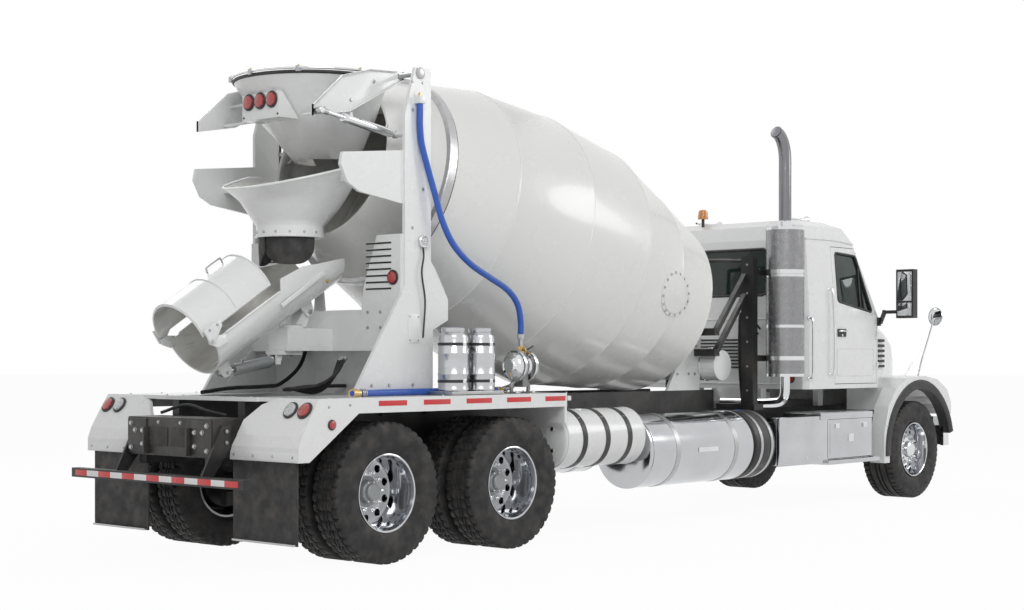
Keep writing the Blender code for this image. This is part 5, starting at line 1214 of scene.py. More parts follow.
# ================================================================== tanks
def strapped_tank(name, node, centre, x, radius, dome, material, straps, strap_slot, side, slot=None):
    """A round tank with dished ends, straps on pads, brackets and weld beads."""
    tank = Piece(name, "chassis", material, BLACK, STEEL, CHROME)
    length = x[1] - x[0]
    profile = [(0, 0)]
    for k in range(1, 9):
        turn = math.pi / 2 * k / 8
        profile.append((dome * (1 - math.cos(turn)) * 0.98, (radius - 0.012) * math.sin(turn)))
    profile += [(dome, radius - 0.006), (dome + 0.004, radius - 0.001), (dome + 0.012, radius - 0.001), (dome + 0.016, radius - 0.004)]
    profile += [(length - d, r) for d, r in reversed(profile)]
    tank.lathe(profile, at(x[0], *centre), FORWARD, 0, 96)
    for strap in straps:
        band = [(0, radius - 0.005), (0, radius - 0.0006), (0.06, radius - 0.0006), (0.06, radius - 0.005)]
        tank.lathe(band, at(strap - 0.03, *centre), FORWARD, strap_slot, 96, closed=True)
        tank.block((strap - 0.04, strap + 0.04), (side * 0.424, side * (abs(centre[0]) - radius * 0.55)), (centre[1] - 0.02, centre[1] + 0.06), 1, 0.006)
        tank.block((strap - 0.02, strap + 0.02), (side * (abs(centre[0]) + radius * 0.62), side * (abs(centre[0]) + radius * 0.70)), (centre[1] + radius * 0.66, centre[1] + radius * 0.72), 2, 0.002)
    return tank


def tanks():
    for word, side in SIDES.items():
        tank = strapped_tank(f"fuel_tank_{word}", None, (side * 0.89, 0.68), (3.15, 4.77), 0.33, 0.045, POLISHED, (3.55, 4.45), 2, side)
        spot = at(4.62, side * 0.89, 1.0)
        tank.lathe([(0, 0), (0, 0.06), (0.006, 0.06), (0.008, 0.05), (0.009, 0)], spot, UP, 3, 40)
        tank.block((3.85, 4.15), (side * 1.2185, side * 1.2195), (0.66, 0.70), 3, 0.0)
        for x in (3.25, 4.67):
            tank.rod(at(x, side * 0.89, 0.352), at(x, side * 0.89, 0.365), 0.022, 2, 6)
        if side < 0:
            profile = [(0, 0), (0, 0.20), (0.01, 0.27), (0.03, 0.315), (0.045, 0.322), (0.335, 0.322), (0.35, 0.315), (0.37, 0.27), (0.38, 0.20), (0.38, 0)]
            tank.lathe(profile, at(4.76, side * 0.89, 0.68), FORWARD, 1, 72)
            for x in (4.86, 5.03):
                tank.lathe([(0, 0.321), (0, 0.3255), (0.04, 0.3255), (0.04, 0.321)], at(x, side * 0.89, 0.68), FORWARD, 2, 72, closed=True)
        tank.done(f"fuel_tank_{word}")
    tank = strapped_tank("water_tank", None, (-0.97, 0.83), (2.0, 3.10), 0.25, 0.036, WHITE, (2.25, 2.55, 2.85), 1, -1)
    tank.lathe([(0, 0), (0, 0.05), (0.012, 0.05), (0.014, 0)], at(2.42, -0.97, 1.066), UP, 3, 40)
    tank.rod(at(2.98, -0.97, 0.585), at(2.98, -0.97, 0.60), 0.02, 2, 6)
    for z, x in ((0.74, 1.99), (0.92, 1.99)):
        tank.rod(at(x + 0.012, -1.06, z), at(x + 0.03, -1.06, z), 0.022, 2, 6)
    tank.done("water_tank")
    cap = Piece("urea_cap", "chassis", BLUE)
    cap.lathe([(0, 0), (0, 0.035), (0.004, 0.037), (0.007, 0.034), (0.0075, 0)], at(4.95, -0.89, 1.0), UP, 0, 32)
    cap.done()


def tread_plate(name="tread_plate"):
    """Bright plate with raised lozenges."""
    made = Finish(name, (0.66, 0.67, 0.68), 1.0, 0.24)
    cells = made.node("ShaderNodeTexVoronoi", feature="F1", distance="CHEBYCHEV")
    cells.inputs["Scale"].default_value = 34.0
    cells.inputs["Randomness"].default_value = 0.0
    made.links.new(made.place, cells.inputs["Vector"])
    bumps = made.spread(cells.outputs["Distance"], 0.16, 0.30, 1.0, 0.0)
    made.tint((0.40, 0.40, 0.40), made.times(made.noise(8, 5, sharp=(0.45, 0.75)), 0.4))
    made.relief(bumps, 0.004, 0.7)
    made.gloss(made.noise(14, 4), 0.18, 0.34)
    return made.material


TREAD = tread_plate()


def side_steps():
    for word, side in SIDES.items():
        steps = Piece(f"side_steps_{word}", "chassis", POLISHED, TREAD, BLACK, CHROME)
        steps.block((6.04, 6.90), (side * 0.80, side * 1.22), (0.50, 0.89), 0, 0.008)
        steps.block((5.90, 6.91), (side * 0.78, side * 1.225), (0.89, 0.958), 0, 0.010)
        steps.block((5.93, 6.89), (side * 0.82, side * 1.19), (0.957, 0.9605), 1, 0.001)
        steps.block((6.02, 7.03), (side * 0.90, side * 1.24), (0.44, 0.486), 0, 0.010)
        steps.block((6.92, 7.02), (side * 0.92, side * 1.22), (0.485, 0.49), 1, 0.001)
        steps.block((5.17, 6.06), (side * 1.175, side * 1.215), (0.46, 0.93), 0, 0.012)
        steps.block((5.17, 6.04), (side * 1.12, side * 1.18), (0.905, 0.93), 0, 0.006)
        steps.block((5.17, 5.20), (side * 1.12, side * 1.18), (0.47, 0.91), 0, 0.004)
        steps.block((6.075, 6.865), (side * 1.2195, side * 1.2235), (0.535, 0.86), 0, 0.006)
        for x in (6.20, 6.74):
            steps.block((x - 0.035, x + 0.035), (side * 1.222, side * 1.236), (0.80, 0.85), 3, 0.004)
        steps.block((6.42, 6.52), (side * 1.222, side * 1.2305), (0.66, 0.74), 3, 0.006)
        for x in (6.16, 6.80):
            steps.block((x - 0.05, x + 0.05), (side * 0.424, side * 0.81), (0.76, 0.88), 2, 0.006)
        steps.block((5.25, 5.33), (side * 0.424, side * 1.15), (0.76, 0.88), 2, 0.006)
        for x in (5.24, 5.45, 5.66, 5.87):
            for z in (0.52, 0.87):
                steps.bolt(at(x, side * 1.215, z), LEFT * side, 0.007, 3)
        for k in range(7):
            steps.block((6.03 + 0.0, 6.90), (side * (0.93 + 0.04 * k), side * (0.945 + 0.04 * k)), (0.4855, 0.4898), 1, 0.001)
        steps.done(f"side_steps_{word}")


# ================================================================== exhaust
def exhaust():
    stack = Piece("exhaust_guard", "chassis", GUARD, CHROME, STEEL)
    base = Vector((STACK.x, STACK.y, 0))
    shell = [(1.335, 0.184), (1.335, 0.1885), (2.775, 0.1885), (2.775, 0.184)]
    stack.lathe(shell, base, UP, 0, 96, closed=True)
    stack.lathe([(1.34, 0), (1.34, 0.12), (2.77, 0.12), (2.77, 0)], base, UP, 2, 48)
    for z in (1.32, 1.80, 2.30, 2.762):
        stack.lathe([(z, 0.182), (z, 0.190), (z + 0.028, 0.190), (z + 0.028, 0.182)], base, UP, 1, 96, closed=True)
    for z in (1.325, 2.775):
        stack.lathe([(z, 0.06), (z + 0.008, 0.06), (z + 0.008, 0.186), (z, 0.186)], base, UP, 1, 72, closed=True)
    stack.done()
    pipe = Piece("exhaust_pipe", "chassis", DARK_PIPE, CHROME)
    pipe.tube([base + Vector((dx, 0, z)) for dx, z in ((0, 2.70), (0, 3.0), (0, 3.30), (0, 3.46), (-0.012, 3.55), (-0.045, 3.63), (-0.10, 3.69), (-0.16, 3.718))], 0.0625, 0, 40, 6)
    pipe.rod(base + Vector((0, 0, 2.79)), base + Vector((0, 0, 2.86)), 0.069, 1, 40)
    mouth = (Vector((-0.06, 0, 0.028))).normalized()
    pipe.lathe([(0, 0), (0, 0.052), (0.004, 0.054), (0.006, 0)], base + Vector((-0.1605, 0, 3.7185)) , mouth, 0, 40)
    run = [(0, 0, 1.36), (0, 0, 1.24), (0, 0.01, 1.13), (0, 0.07, 1.07), (0, 0.25, 1.056), (0, 0.50, 1.055), (0, 0.7485, 1.055)]
    pipe.tube([base + Vector(point) for point in run], 0.049, 1, 32, 6)
    pipe.done("exhaust_stack")
    soften("exhaust_rack", 0.004)
    rack = Piece("rack_trim", "chassis", BLACK, CHROME, HOSE, STEEL)
    for z in (1.50, 2.35):
        rack.lathe([(z - 0.02, 0.1885), (z - 0.02, 0.1935), (z + 0.02, 0.1935), (z + 0.02, 0.1885)], base, UP, 1, 96, closed=True)
        for x in (5.50, 5.60):
            rack.bolt(at(x, -0.70, z + 0.03), UP, 0.009, 3)
    for z in (1.18, 1.42, 1.66, 1.90, 2.14, 2.42):
        rack.bolt(at(5.40, -0.69, z), -FORWARD, 0.010, 3)
    for k, y in enumerate((-0.60, -0.575, -0.55)):
        rack.tube([at(5.52, y, 1.05), at(5.46, y - 0.01, 1.4), at(5.47, y, 1.8), at(5.60, y + 0.06, 1.95), at(5.84, y + 0.10, 1.85 - 0.05 * k), at(5.915, y + 0.10, 1.80 - 0.05 * k)], 0.011, 2, 10, 6)
    rack.tube([at(5.44, -0.63, 2.46), at(5.44, -0.2, 2.48), at(5.44, 0.25, 2.46)], 0.02, 0, 16, 4)
    rack.tube([at(5.44, 0.25, 2.46), at(5.43, 0.27, 1.8), at(5.42, 0.30, 1.20)], 0.02, 0, 16, 4)
    rack.done()


def drive():
    """Gearbox flange bolts, the oil tank's ends and the pedestal's plates."""
    soften("front_pedestal", 0.004)
    soften("drum_gearbox", 0.006)
    trim = Piece("drive_trim", "chassis", STEEL, CHROME, BLACK, WHITE, HOSE)
    for k in range(16):
        angle = math.tau * (k + 0.5) / 16
        trim.bolt(drum_at(-0.305, 0.192, angle), DRUM_AXIS, 0.010, 0)
    for side in SIDES.values():
        trim.lathe([(0, 0), (0, 0.148), (0.02, 0.148), (0.024, 0.14), (0.028, 0)], at(5.08, side * 0.600, 1.43), LEFT * side, 3, 48)
        trim.ring(at(5.08, side * 0.44, 1.43), LEFT, 0.1465, 0.006, 1, 48)
        for x, z in ((4.60, 1.35), (4.78, 1.35), (4.88, 1.35), (4.90, 1.62), (4.90, 1.88)):
            trim.bolt(at(x, side * 0.43, z), LEFT * side, 0.012, 0)
    trim.lathe([(0, 0), (0, 0.045), (0.03, 0.045), (0.034, 0.03), (0.034, 0)], at(5.08, -0.50, 1.574), UP, 1, 32)
    for k, y in enumerate((-0.22, -0.10, 0.08)):
        trim.tube([at(5.08, y, 1.575), at(5.10, y + 0.02, 1.75), at(5.02, y + 0.05, 1.85), at(4.88, y * 0.4, 1.80 + 0.03 * k)], 0.016, 4, 12, 6)
    trim.done()


# ================================================================== cab
def cab_half(z):
    return 1.05 - 0.06 * (z - 1.95) / 0.75 if z > 1.95 else 1.05


def screen_x(z):
    return 7.36 - 0.43 * (z - 1.95) / 0.75


def backlight_x(z):
    return 5.92 + 0.02 * (z - 1.95) / 0.75


def loop(points):
    """Close a run of points for a tube, with its corners kept tight."""
    route = []
    for a, b in zip(points, points[1:] + points[:1]):
        route += [a + (b - a) * share for share in (0.04, 0.12, 0.5, 0.88, 0.96)]
    return route + route[:1]


DOOR_WINDOW = [(6.53, 2.08), (7.20, 1.98), (6.93, 2.56), (6.53, 2.58)]


def cab():
    body = "chassis"
    soften("cab_shell", 0.012, 3)
    soften("cab_interior", 0.02, 3)
    trim = Piece("cab_trim", body, BLACK_PLASTIC, CHROME, WHITE, AMBER_LENS, NEAR_BLACK_AND_PAINTED_SHADE, STEEL)
    screen = [at(screen_x(z) - 0.004, y, z) for y, z in ((-0.86, 2.03), (0.86, 2.03), (0.86, 2.64), (-0.86, 2.64))]
    trim.tube(loop(screen), 0.014, 0, 10, 1)
    trim.tube([at(screen_x(z) - 0.006, 0, z) for z in (2.035, 2.3, 2.635)], 0.011, 0, 10, 1)
    backlight = [at(backlight_x(z) + 0.004, y, z) for y, z in ((-0.57, 2.14), (0.57, 2.14), (0.57, 2.61), (-0.57, 2.61))]
    trim.tube(loop(backlight), 0.014, 0, 10, 1)
    for side in SIDES.values():
        foot, tip = at(screen_x(2.02) + 0.006, side * 0.30, 2.015), at(screen_x(2.5) + 0.016, side * 0.52, 2.50)
        trim.rod(foot, foot + (tip - foot) * 0.5, 0.008, 0, 10)
        blade = foot + (tip - foot) * 0.5
        trim.tube([blade + Vector((0.004, -side * 0.04, -0.24)), blade + Vector((0.004, side * 0.02, 0.0)), blade + Vector((0.004, side * 0.08, 0.24))], 0.006, 0, 8, 4)
        trim.bolt(foot, FORWARD, 0.016, 0)
        # grab bar behind the door, and one on the rear corner
        for x, low, high in ((6.37, 1.34, 2.20), (5.96, 1.30, 1.90)):
            bar = [at(x, side * (cab_half(low) + 0.002), low), at(x, side * (cab_half(low) + 0.045), low + 0.03), at(x, side * (cab_half((low + high) / 2) + 0.05), (low + high) / 2), at(x, side * (cab_half(high) + 0.045), high - 0.03), at(x, side * (cab_half(high) + 0.002), high)]
            trim.tube(bar, 0.012, 1, 12, 6)
            for z in (low, high):
                trim.lathe([(0, 0), (0, 0.024), (0.005, 0.022), (0.006, 0)], at(x, side * cab_half(z), z), LEFT * side, 1, 24)
        trim.tube([at(x, side * (cab_half(2.66) + 0.003), z) for x, z in ((5.98, 2.70), (6.5, 2.705), (6.90, 2.68))], 0.007, 2, 8, 3)
        for z in (1.24, 1.90):
            trim.tube([at(5.925, side * 0.99, z), at(5.916, side * 0.5, z), at(5.916, 0, z)], 0.006, 2, 8, 3)
        trim.tube([at(5.917, side * 0.62, 1.26), at(5.917, side * 0.62, 1.88)], 0.006, 2, 8, 1)
    # near-black strips on the cab's back: painted shade in the vent slots
    for k in range(9):
        trim.block((5.910, 5.921), (-0.30, 0.30), (1.40 + 0.035 * k, 1.415 + 0.035 * k), 4, 0.001)
    visor = []
    for z, lift in ((2.60, 0.20), (2.68, 0.13), (2.74, 0.05)):
        visor.append([at(screen_x(z) + lift - 0.12 * abs(y) ** 2, y * 0.93, z) for y in spaced(-1, 1, 14)])
    grid = [[trim.mesh.verts.new(point) for point in row] for row in visor + [[p - Vector((0.010, 0, 0.006)) for p in row] for row in reversed(visor)]]
    made = []
    for a, b in zip(grid, grid[1:] + grid[:1]):
        for k in range(14):
            face = trim.mesh.faces.new((a[k], a[k + 1], b[k + 1], b[k]))
            face.material_index = 2
            face.smooth = True
            made.append(face)
    for k in (0, 14):
        made.append(trim.mesh.faces.new([row[k] for row in grid]))
    bmesh.ops.recalc_face_normals(trim.mesh, faces=made)
    for y in (-0.72, -0.30, 0.0, 0.30, 0.72):
        base = at(6.74, y, 2.862 if abs(y) < 0.5 else 2.848)
        trim.lathe([(0, 0), (0, 0.045), (0.006, 0.045), (0.012, 0.038), (0.03, 0.028), (0.038, 0.012), (0.039, 0)], base, UP, 3, 24)
    for side in SIDES.values():
        horn = [(0, 0.010), (0.30, 0.012), (0.38, 0.022), (0.43, 0.045), (0.432, 0.040), (0.38, 0.016), (0.37, 0)]
        trim.lathe(horn, at(6.28, side * 0.55, 2.945), FORWARD, 1, 24)
        for x in (6.34, 6.54):
            trim.rod(at(x, side * 0.55, 2.885), at(x, side * 0.55, 2.94), 0.008, 1, 10)
    trim.rod(at(6.05, 0.30, 2.88), at(6.05, 0.30, 2.97), 0.016, 0)
    trim.lathe([(0, 0), (0, 0.055), (0.02, 0.056), (0.085, 0.048), (0.10, 0.03), (0.104, 0)], at(6.05, 0.30, 2.96), UP, 3, 32)
    trim.done()
    seats = Piece("seat_belts", body, BLACK_PLASTIC, STEEL)
    for side in SIDES.values():
        seats.plate([at(6.13, side * 0.70, 2.36), at(6.13, side * 0.66, 2.36), at(6.40, side * 0.30, 1.735), at(6.40, side * 0.34, 1.735)], Vector((0.018, 0, 0.012)), 0, 0.001)
    seats.done()


def doors():
    for word, side in SIDES.items():
        body = f"door_{word}_body"
        soften(f"door_{word}", 0.004)
        trim = Piece(f"door_{word}_trim", body, BLACK_PLASTIC, CHROME, WHITE, STEEL)
        edge = [at(x, side * (cab_half(z) - 0.002), z) for x, z in DOOR_WINDOW]
        trim.tube(loop(edge), 0.012, 0, 10, 1)
        trim.tube([at(6.98, side * (cab_half(2.0) - 0.006), 2.015), at(6.98, side * (cab_half(2.45) - 0.006), 2.455)], 0.008, 0, 8, 1)
        trim.block((6.50, 6.66), (side * 1.0495, side * 1.062), (1.72, 1.80), 0, 0.008)
        trim.tube([at(6.515, side * 1.058, 1.775), at(6.53, side * 1.082, 1.778), at(6.64, side * 1.082, 1.778), at(6.652, side * 1.058, 1.775)], 0.009, 1, 10, 4)
        trim.lathe([(0, 0), (0, 0.012), (0.004, 0.012), (0.005, 0)], at(6.58, side * 1.06, 1.735), LEFT * side, 1, 20)
        press = [at(x, side * 1.0515, z) for x, z in ((6.50, 1.32), (7.22, 1.32), (7.22, 1.60), (6.50, 1.60))]
        trim.tube(loop(press), 0.004, 2, 8, 1)
        trim.block((6.56, 6.72), (side * 0.985, side * 0.999), (1.55, 1.90), 0, 0.006)
        trim.block((6.56, 7.15), (side * 0.975, side * 0.999), (1.62, 1.68), 0, 0.01)
        trim.done()
        pane = Piece(f"door_{word}_glass", body, GLASS)
        inner = [at(x, side * (cab_half(z) - 0.022), z) for x, z in DOOR_WINDOW]
        pane.plate(inner, Vector((0, side * 0.006, 0)), 0, 0.0)
        pane.done()
        mirror = Piece(f"mirror_{word}_glass", "chassis", MIRROR_GLASS, BLACK_PLASTIC)
        mirror.block((7.357, 7.3605), (side * 1.258, side * 1.422), (2.10, 2.405), 0, 0.002)
        mirror.block((7.357, 7.3605), (side * 1.258, side * 1.422), (1.945, 2.08), 0, 0.002)
        mirror.done()
        soften(f"mirror_{word}", 0.014, 3)


# ================================================================== hood
def hood():
    body = "tilting_hood"
    soften("hood", 0.014, 3)
    trim = Piece("hood_trim", body, BLACK_PLASTIC, CHROME, NEAR_BLACK_AND_PAINTED_SHADE, CLEAR_LENS, AMBER_LENS, WHITE, MIRROR_GLASS)
    for side in SIDES.values():
        rings = []
        for angle in spaced(math.radians(14), math.radians(183), 40):
            out = Vector((math.cos(angle), 0, math.sin(angle)))
            centre = at(7.872, side * 1.25, 0.52)
            rings.append([
                centre + out * 0.652 - LEFT * side * 0.10, centre + out * 0.652 + LEFT * side * 0.010,
                centre + out * 0.675 + LEFT * side * 0.020, centre + out * 0.735 + LEFT * side * 0.014,
                centre + out * 0.750 + LEFT * side * 0.0005, centre + out * 0.750 - LEFT * side * 0.012,
                centre + out * 0.668 - LEFT * side * 0.012, centre + out * 0.668 - LEFT * side * 0.10,
            ])
        trim.rings(rings, 0)
        # headlamp in the fender's nose
        trim.block((8.545, 8.566), (side * 0.68, side * 1.16), (0.895, 1.02), 1, 0.008)
        trim.block((8.563, 8.571), (side * 0.70, side * 0.98), (0.907, 1.008), 3, 0.004)
        trim.block((8.563, 8.571), (side * 1.0, side * 1.14), (0.907, 1.008), 4, 0.004)
        # side vent with its slats, painted near-black: painted shade in the vent
        for k in range(6):
            z = 1.40 + 0.055 * k
            trim.plate([at(7.50, side * 0.913, z), at(7.80, side * 0.846, z), at(7.80, side * 0.846, z + 0.028), at(7.50, side * 0.913, z + 0.028)], LEFT * side * 0.012, 2, 0.001)
            trim.tube([at(7.49, side * 0.922, z + 0.034), at(7.81, side * 0.850, z + 0.034)], 0.005, 1, 8, 1)
        trim.lathe([(0, 0), (0, 0.022), (0.02, 0.018), (0.022, 0)], at(7.46, side * 0.925, 1.30), LEFT * side, 0, 20)
        # small round mirror on the fender
        arm = [at(8.16, side * 1.06, 1.285), at(8.19, side * 1.10, 1.50), at(8.25, side * 1.15, 1.75), at(8.30, side * 1.18, 1.93)]
        trim.tube(arm, 0.009, 1, 10, 5)
        trim.tube([at(8.02, side * 0.98, 1.31), at(8.12, side * 1.05, 1.50), at(8.24, side * 1.14, 1.74)], 0.006, 1, 8, 4)
        look = Vector((-1.0, -side * 0.25, 0.05)).normalized()
        head = at(8.315, side * 1.19, 1.955)
        trim.lathe([(-0.06, 0), (-0.055, 0.035), (-0.035, 0.075), (-0.008, 0.098), (0, 0.100), (0.004, 0.096), (0.004, 0.09)], head, look, 1, 40)
        trim.lathe([(-0.004, 0), (-0.004, 0.092), (0.003, 0.090), (0.011, 0.055), (0.0135, 0)], head, look, 6, 40)
        for x in (7.16, 7.26):
            trim.bolt(at(x, side * 1.25, 0.80 + (x - 7.16) * 2.2), LEFT * side, 0.010, 1)
    trim.block((8.525, 8.548), (-0.50, 0.50), (0.93, 1.46), 1, 0.010)
    # near-black sheet behind the grille bars: painted shade
    trim.block((8.546, 8.551), (-0.455, 0.455), (0.97, 1.42), 2, 0.0)
    for k in range(12):
        z = 0.985 + 0.036 * k
        trim.block((8.549, 8.557), (-0.45, 0.45), (z, z + 0.014), 1, 0.002)
    trim.block((8.549, 8.560), (-0.012, 0.012), (0.97, 1.42), 1, 0.002)
    trim.tube([at(7.40, 0, 1.952), at(7.85, 0, 1.884), at(8.25, 0, 1.764), at(8.46, 0, 1.61)], 0.010, 5, 10, 5)
    trim.done()
    nose = Piece("bumper_trim", "chassis", CHROME, CLEAR_LENS, BLACK, STEEL)
    soften("front_bumper", 0.012, 3)
    for side in SIDES.values():
        nose.lathe([(0, 0), (0, 0.062), (0.010, 0.060), (0.012, 0.050), (0.012, 0)], at(8.738, side * 0.45, 0.70), FORWARD, 2, 32)
        nose.lathe([(0, 0), (0, 0.050), (0.010, 0.044), (0.014, 0)], at(8.738, side * 0.45, 0.70), FORWARD, 1, 32)
    nose.done()


def running_gear():
    body = "chassis"
    trim = Piece("running_gear_trim", body, BLACK, STEEL, CAST, GREY, HOSE)
    for side in SIDES.values():
        for k in range(16):
            x = 2.15 + 0.20 * k
            for z in (0.79, 0.99):
                if not 1.9 < x < 2.0:
                    trim.bolt(at(x, side * 0.42, z), LEFT * side, 0.010, 1)
        for x in (-0.05, 1.42):
            start = at(x, side * 0.30, 0.70)
            can = [(0, 0), (0, 0.07), (0.02, 0.082), (0.05, 0.085), (0.055, 0.09), (0.07, 0.09), (0.075, 0.085), (0.13, 0.08), (0.15, 0.05), (0.15, 0)]
            trim.lathe(can, start, FORWARD * (1 if x > 0 else -1), 0, 32)
            trim.tube([start + Vector((0, 0, 0.08)), start + Vector((0, 0.02, 0.20)), at(0.686, side * 0.25, 0.90)], 0.010, 4, 8, 5)
        for x in (3.0, 4.9):
            trim.tube([at(x, side * 0.36, 1.00), at(x + 0.5, side * 0.35, 0.99), at(x + 1.2, side * 0.355, 1.0)], 0.012, 4, 8, 5)
    for x0, x1 in ((1.60, 3.40), (3.50, 5.55)):
        shaft = [(0, 0), (0, 0.05), (0.05, 0.055), (0.06, 0.044), (0.10, 0.044)]
        length = x1 - x0
        shaft += [(length - d, r) for d, r in reversed(shaft)]
        a, b = at(x0, 0, 0.62 if x0 < 2 else 0.74), at(x1, 0, 0.74 if x0 < 2 else 0.84)
        trim.lathe(shaft, a, b - a, 3, 32)
    for side in SIDES.values():
        air = [(0, 0), (0.01, 0.06), (0.03, 0.10), (0.05, 0.108), (0.65, 0.108), (0.67, 0.10), (0.69, 0.06), (0.70, 0)]
        trim.lathe(air, at(5.10, side * 0.25, 0.66), FORWARD, 0, 40)
        for x in (5.25, 5.62):
            trim.lathe([(0, 0.1075), (0, 0.111), (0.03, 0.111), (0.03, 0.1075)], at(x, side * 0.25, 0.66), FORWARD, 1, 40, closed=True)
    trim.done()
    for node in ("rear_axles", "front_axle", "engine", "knuckle_right", "knuckle_left"):
        soften(node, 0.004)
    for word in SIDES:
        soften(f"drum_roller_{word}", 0.004)


# ================================================================== hoses
HOSE_R = 0.025
DELIVERY_ROUTE = [
    (1.66, -1.02, 1.70), (1.66, -1.02, 1.80), (1.62, -1.02, 1.94), (1.50, -1.02, 2.05), (1.30, -1.015, 2.14),
    (1.08, -1.01, 2.24), (0.90, -1.0, 2.38), (0.79, -0.985, 2.56), (0.73, -0.965, 2.76), (0.67, -0.945, 2.96),
    (0.62, -0.93, 3.14), (0.60, -0.93, 3.28), (0.60, -0.93, 3.37), (0.60, -0.93, 3.45),
]
SUCTION_ROUTE = [
    (1.4597, -0.935, 1.2465), (1.35, -0.935, 1.2465), (1.05, -0.935, 1.2465), (0.60, -0.935, 1.2465),
    (0.20, -0.97, 1.2465), (-0.05, -1.02, 1.2465), (-0.22, -1.05, 1.2465),
]


def water_hose(name, route, with_pieces=()):
    piece = Piece(name, "chassis", BLUE)
    piece.tube([at(*point) for point in route], HOSE_R, 0, 20, 8)
    made = piece.done(f"{name}_hose", slot="water_hose")
    return made


def hose_coupling():
    """The screwed brass end on the free end of the suction hose."""
    end, before = at(*SUCTION_ROUTE[-1]), at(*SUCTION_ROUTE[-2])
    along = (end - before).normalized()
    piece = Piece("suction_coupling", "chassis", BRASS, STEEL)
    profile = [
        (-0.085, 0.025), (-0.085, 0.030), (-0.050, 0.030), (-0.048, 0.034), (-0.014, 0.034), (-0.012, 0.031),
        (0.0, 0.031), (0.0, 0.019), (-0.03, 0.019), (-0.03, 0.0),
    ]
    piece.lathe(profile, end, along, 0, 24)
    for k in range(3):
        piece.lathe([(0, 0.030), (0, 0.0325), (0.012, 0.0325), (0.012, 0.030)], end - along * (0.112 + 0.02 * k), along, 1, 24, closed=True)
    return piece.done()


# ================================================================== stage
def camera():
    made = bpy.data.objects.new("camera", bpy.data.cameras.new("camera"))
    bpy.context.scene.collection.objects.link(made)
    made.location = (-12.375, -10.10, 1.51)
    made.rotation_euler = (math.radians(90), 0, math.radians(41.8 - 90))
    made.data.lens = 59.6
    made.data.sensor_width = 36
    made.data.shift_y = 0.051
    made.data.clip_end = 300
    bpy.context.scene.camera = made


def background_rays(nodes, links):
    """1 for what the camera sees straight, in a mirror or through glass."""
    path = nodes.new("ShaderNodeLightPath")
    first = nodes.new("ShaderNodeMath")
    first.operation = "MAXIMUM"
    links.new(path.outputs["Is Camera Ray"], first.inputs[0])
    links.new(path.outputs["Is Glossy Ray"], first.inputs[1])
    second = nodes.new("ShaderNodeMath")
    second.operation = "MAXIMUM"
    links.new(first.outputs[0], second.inputs[0])
    links.new(path.outputs["Is Transmission Ray"], second.inputs[1])
    return second.outputs[0]


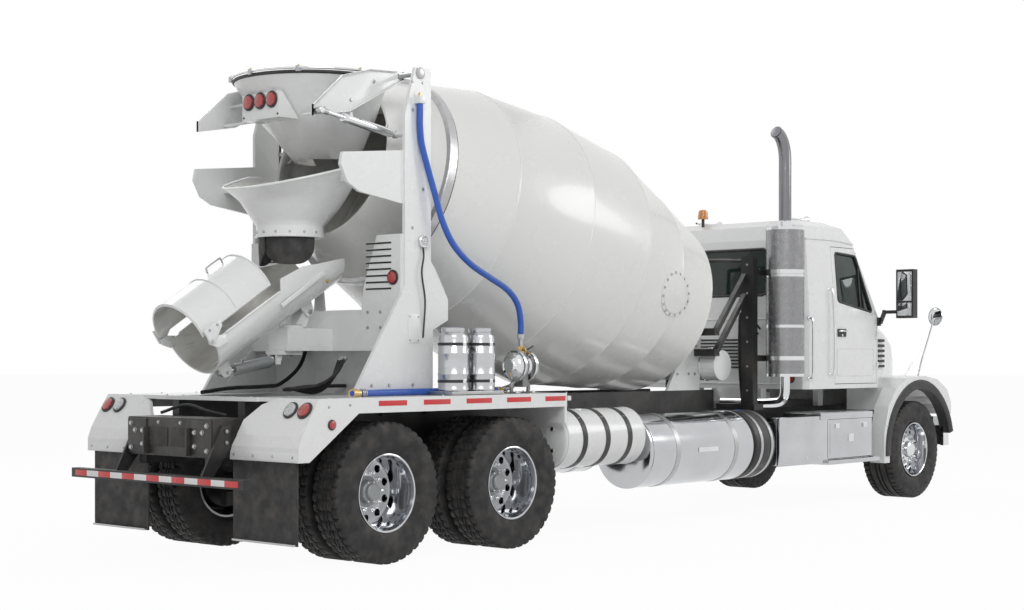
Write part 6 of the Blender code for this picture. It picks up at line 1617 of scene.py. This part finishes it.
def surroundings():
    world = bpy.data.worlds.new("studio")
    bpy.context.scene.world = world
    world.use_nodes = True
    nodes, links = world.node_tree.nodes, world.node_tree.links
    nodes["Background"].inputs["Color"].default_value = (1, 1, 1, 1)
    strength = nodes.new("ShaderNodeMapRange")
    strength.inputs["To Min"].default_value = 0.42
    strength.inputs["To Max"].default_value = 1.0
    links.new(background_rays(nodes, links), strength.inputs["Value"])
    links.new(strength.outputs["Result"], nodes["Background"].inputs["Strength"])

    mesh = bpy.data.meshes.new("floor")
    reach = 120.0
    mesh.from_pydata([(-reach, -reach, 0), (reach, -reach, 0), (reach, reach, 0), (-reach, reach, 0)], [], [(0, 1, 2, 3)])
    floor = bpy.data.objects.new("floor", mesh)
    floor.location.z = cad_low[2]
    bpy.context.scene.collection.objects.link(floor)
    pale = bpy.data.materials.new("floor")
    pale.use_nodes = True
    nodes, links = pale.node_tree.nodes, pale.node_tree.links
    shader = nodes["Principled BSDF"]
    shader.inputs["Base Color"].default_value = (0.86, 0.86, 0.86, 1)
    shader.inputs["Roughness"].default_value = 0.9
    shader.inputs["Specular IOR Level"].default_value = 0.0
    lit = nodes.new("ShaderNodeEmission")
    lit.inputs["Strength"].default_value = 1.0
    mix = nodes.new("ShaderNodeMixShader")
    share = nodes.new("ShaderNodeMath")
    share.operation = "MULTIPLY"
    share.inputs[1].default_value = 0.96
    links.new(background_rays(nodes, links), share.inputs[0])
    links.new(share.outputs[0], mix.inputs["Fac"])
    links.new(shader.outputs[0], mix.inputs[1])
    links.new(lit.outputs[0], mix.inputs[2])
    links.new(mix.outputs[0], nodes["Material Output"].inputs["Surface"])
    mesh.materials.append(pale)

    lamps = (
        # place, where it points, size, watts
        ((-9.0, -9.0, 9.0), (0.0, 0.0, 1.6), 7.0, 620.0),
        ((8.0, -9.0, 7.0), (2.0, 0.0, 1.4), 6.0, 330.0),
        ((0.0, 8.0, 10.0), (0.0, 0.0, 2.0), 8.0, 450.0),
    )
    for k, (place, aim, size, watts) in enumerate(lamps):
        lamp = bpy.data.objects.new(f"softbox_{k}", bpy.data.lights.new(f"softbox_{k}", "AREA"))
        lamp.data.shape = "DISK"
        lamp.data.size = size
        lamp.data.energy = watts
        lamp.location = place
        lamp.rotation_euler = (Vector(aim) - Vector(place)).to_track_quat("-Z", "Y").to_euler()
        bpy.context.scene.collection.objects.link(lamp)
    bpy.context.scene.view_settings.view_transform = "Standard"


NODE_FINISH = {
    "chassis_frame": BLACK, "front_axle": BLACK, "rear_axles": BLACK, "engine": CAST, "front_bumper": CHROME,
    "underride_bar": BLACK, "rear_fenders": WHITE, "water_tank": WHITE, "cab_shell": WHITE,
    "cab_interior": CAB_TRIM, "windshield": GLASS, "rear_window": GLASS, "exhaust_stack": DARK_PIPE,
    "exhaust_rack": BLACK, "front_pedestal": WHITE, "drum_gearbox": GREY, "rear_pedestal": WHITE,
    "collector": WHITE, "spout_curtain": FLAP, "wash_cans": BRUSHED, "water_pump": CAST,
    "mud_flap_right": FLAP, "mud_flap_left": FLAP, "fuel_tank_right": POLISHED, "fuel_tank_left": POLISHED,
    "side_steps_right": POLISHED, "side_steps_left": POLISHED, "mirror_right": BLACK_PLASTIC,
    "mirror_left": BLACK_PLASTIC, "drum_roller_right": STEEL, "drum_roller_left": STEEL,
    "knuckle_right": BLACK, "knuckle_left": BLACK, "door_right": WHITE, "door_left": WHITE, "hood": WHITE,
    "chute_swivel": WHITE, "main_chute": WHITE, "fold_chute": WHITE,
}


def node_finishes():
    for node, material in NODE_FINISH.items():
        paint(node, material)


def write_size():
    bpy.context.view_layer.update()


# ================================================================== making
write_size()
camera()
water_hose("delivery", DELIVERY_ROUTE)
water_hose("suction", SUCTION_ROUTE, [hose_coupling()])
node_finishes()
wheels()
drum_shell()
drum_fins()
drum_hatch()
charge_hopper()
hydraulic_ram("hopper_ram", at(0.52, -0.74, 3.22), at(-0.24, -0.74, 3.33), 0.035, 0.72, CHROME)
hydraulic_ram("chute_ram", at(-0.06, 0, 1.485), at(-0.5578, 0, 1.3958), 0.045, 0.80, GREY)
collector()
main_chute()
fold_chute()
swivel()
rear_frame()
tail_frame()
wash_cans()
water_pump()
tanks()
side_steps()
exhaust()
drive()
cab()
doors()
hood()
running_gear()
surroundings()
write_size()
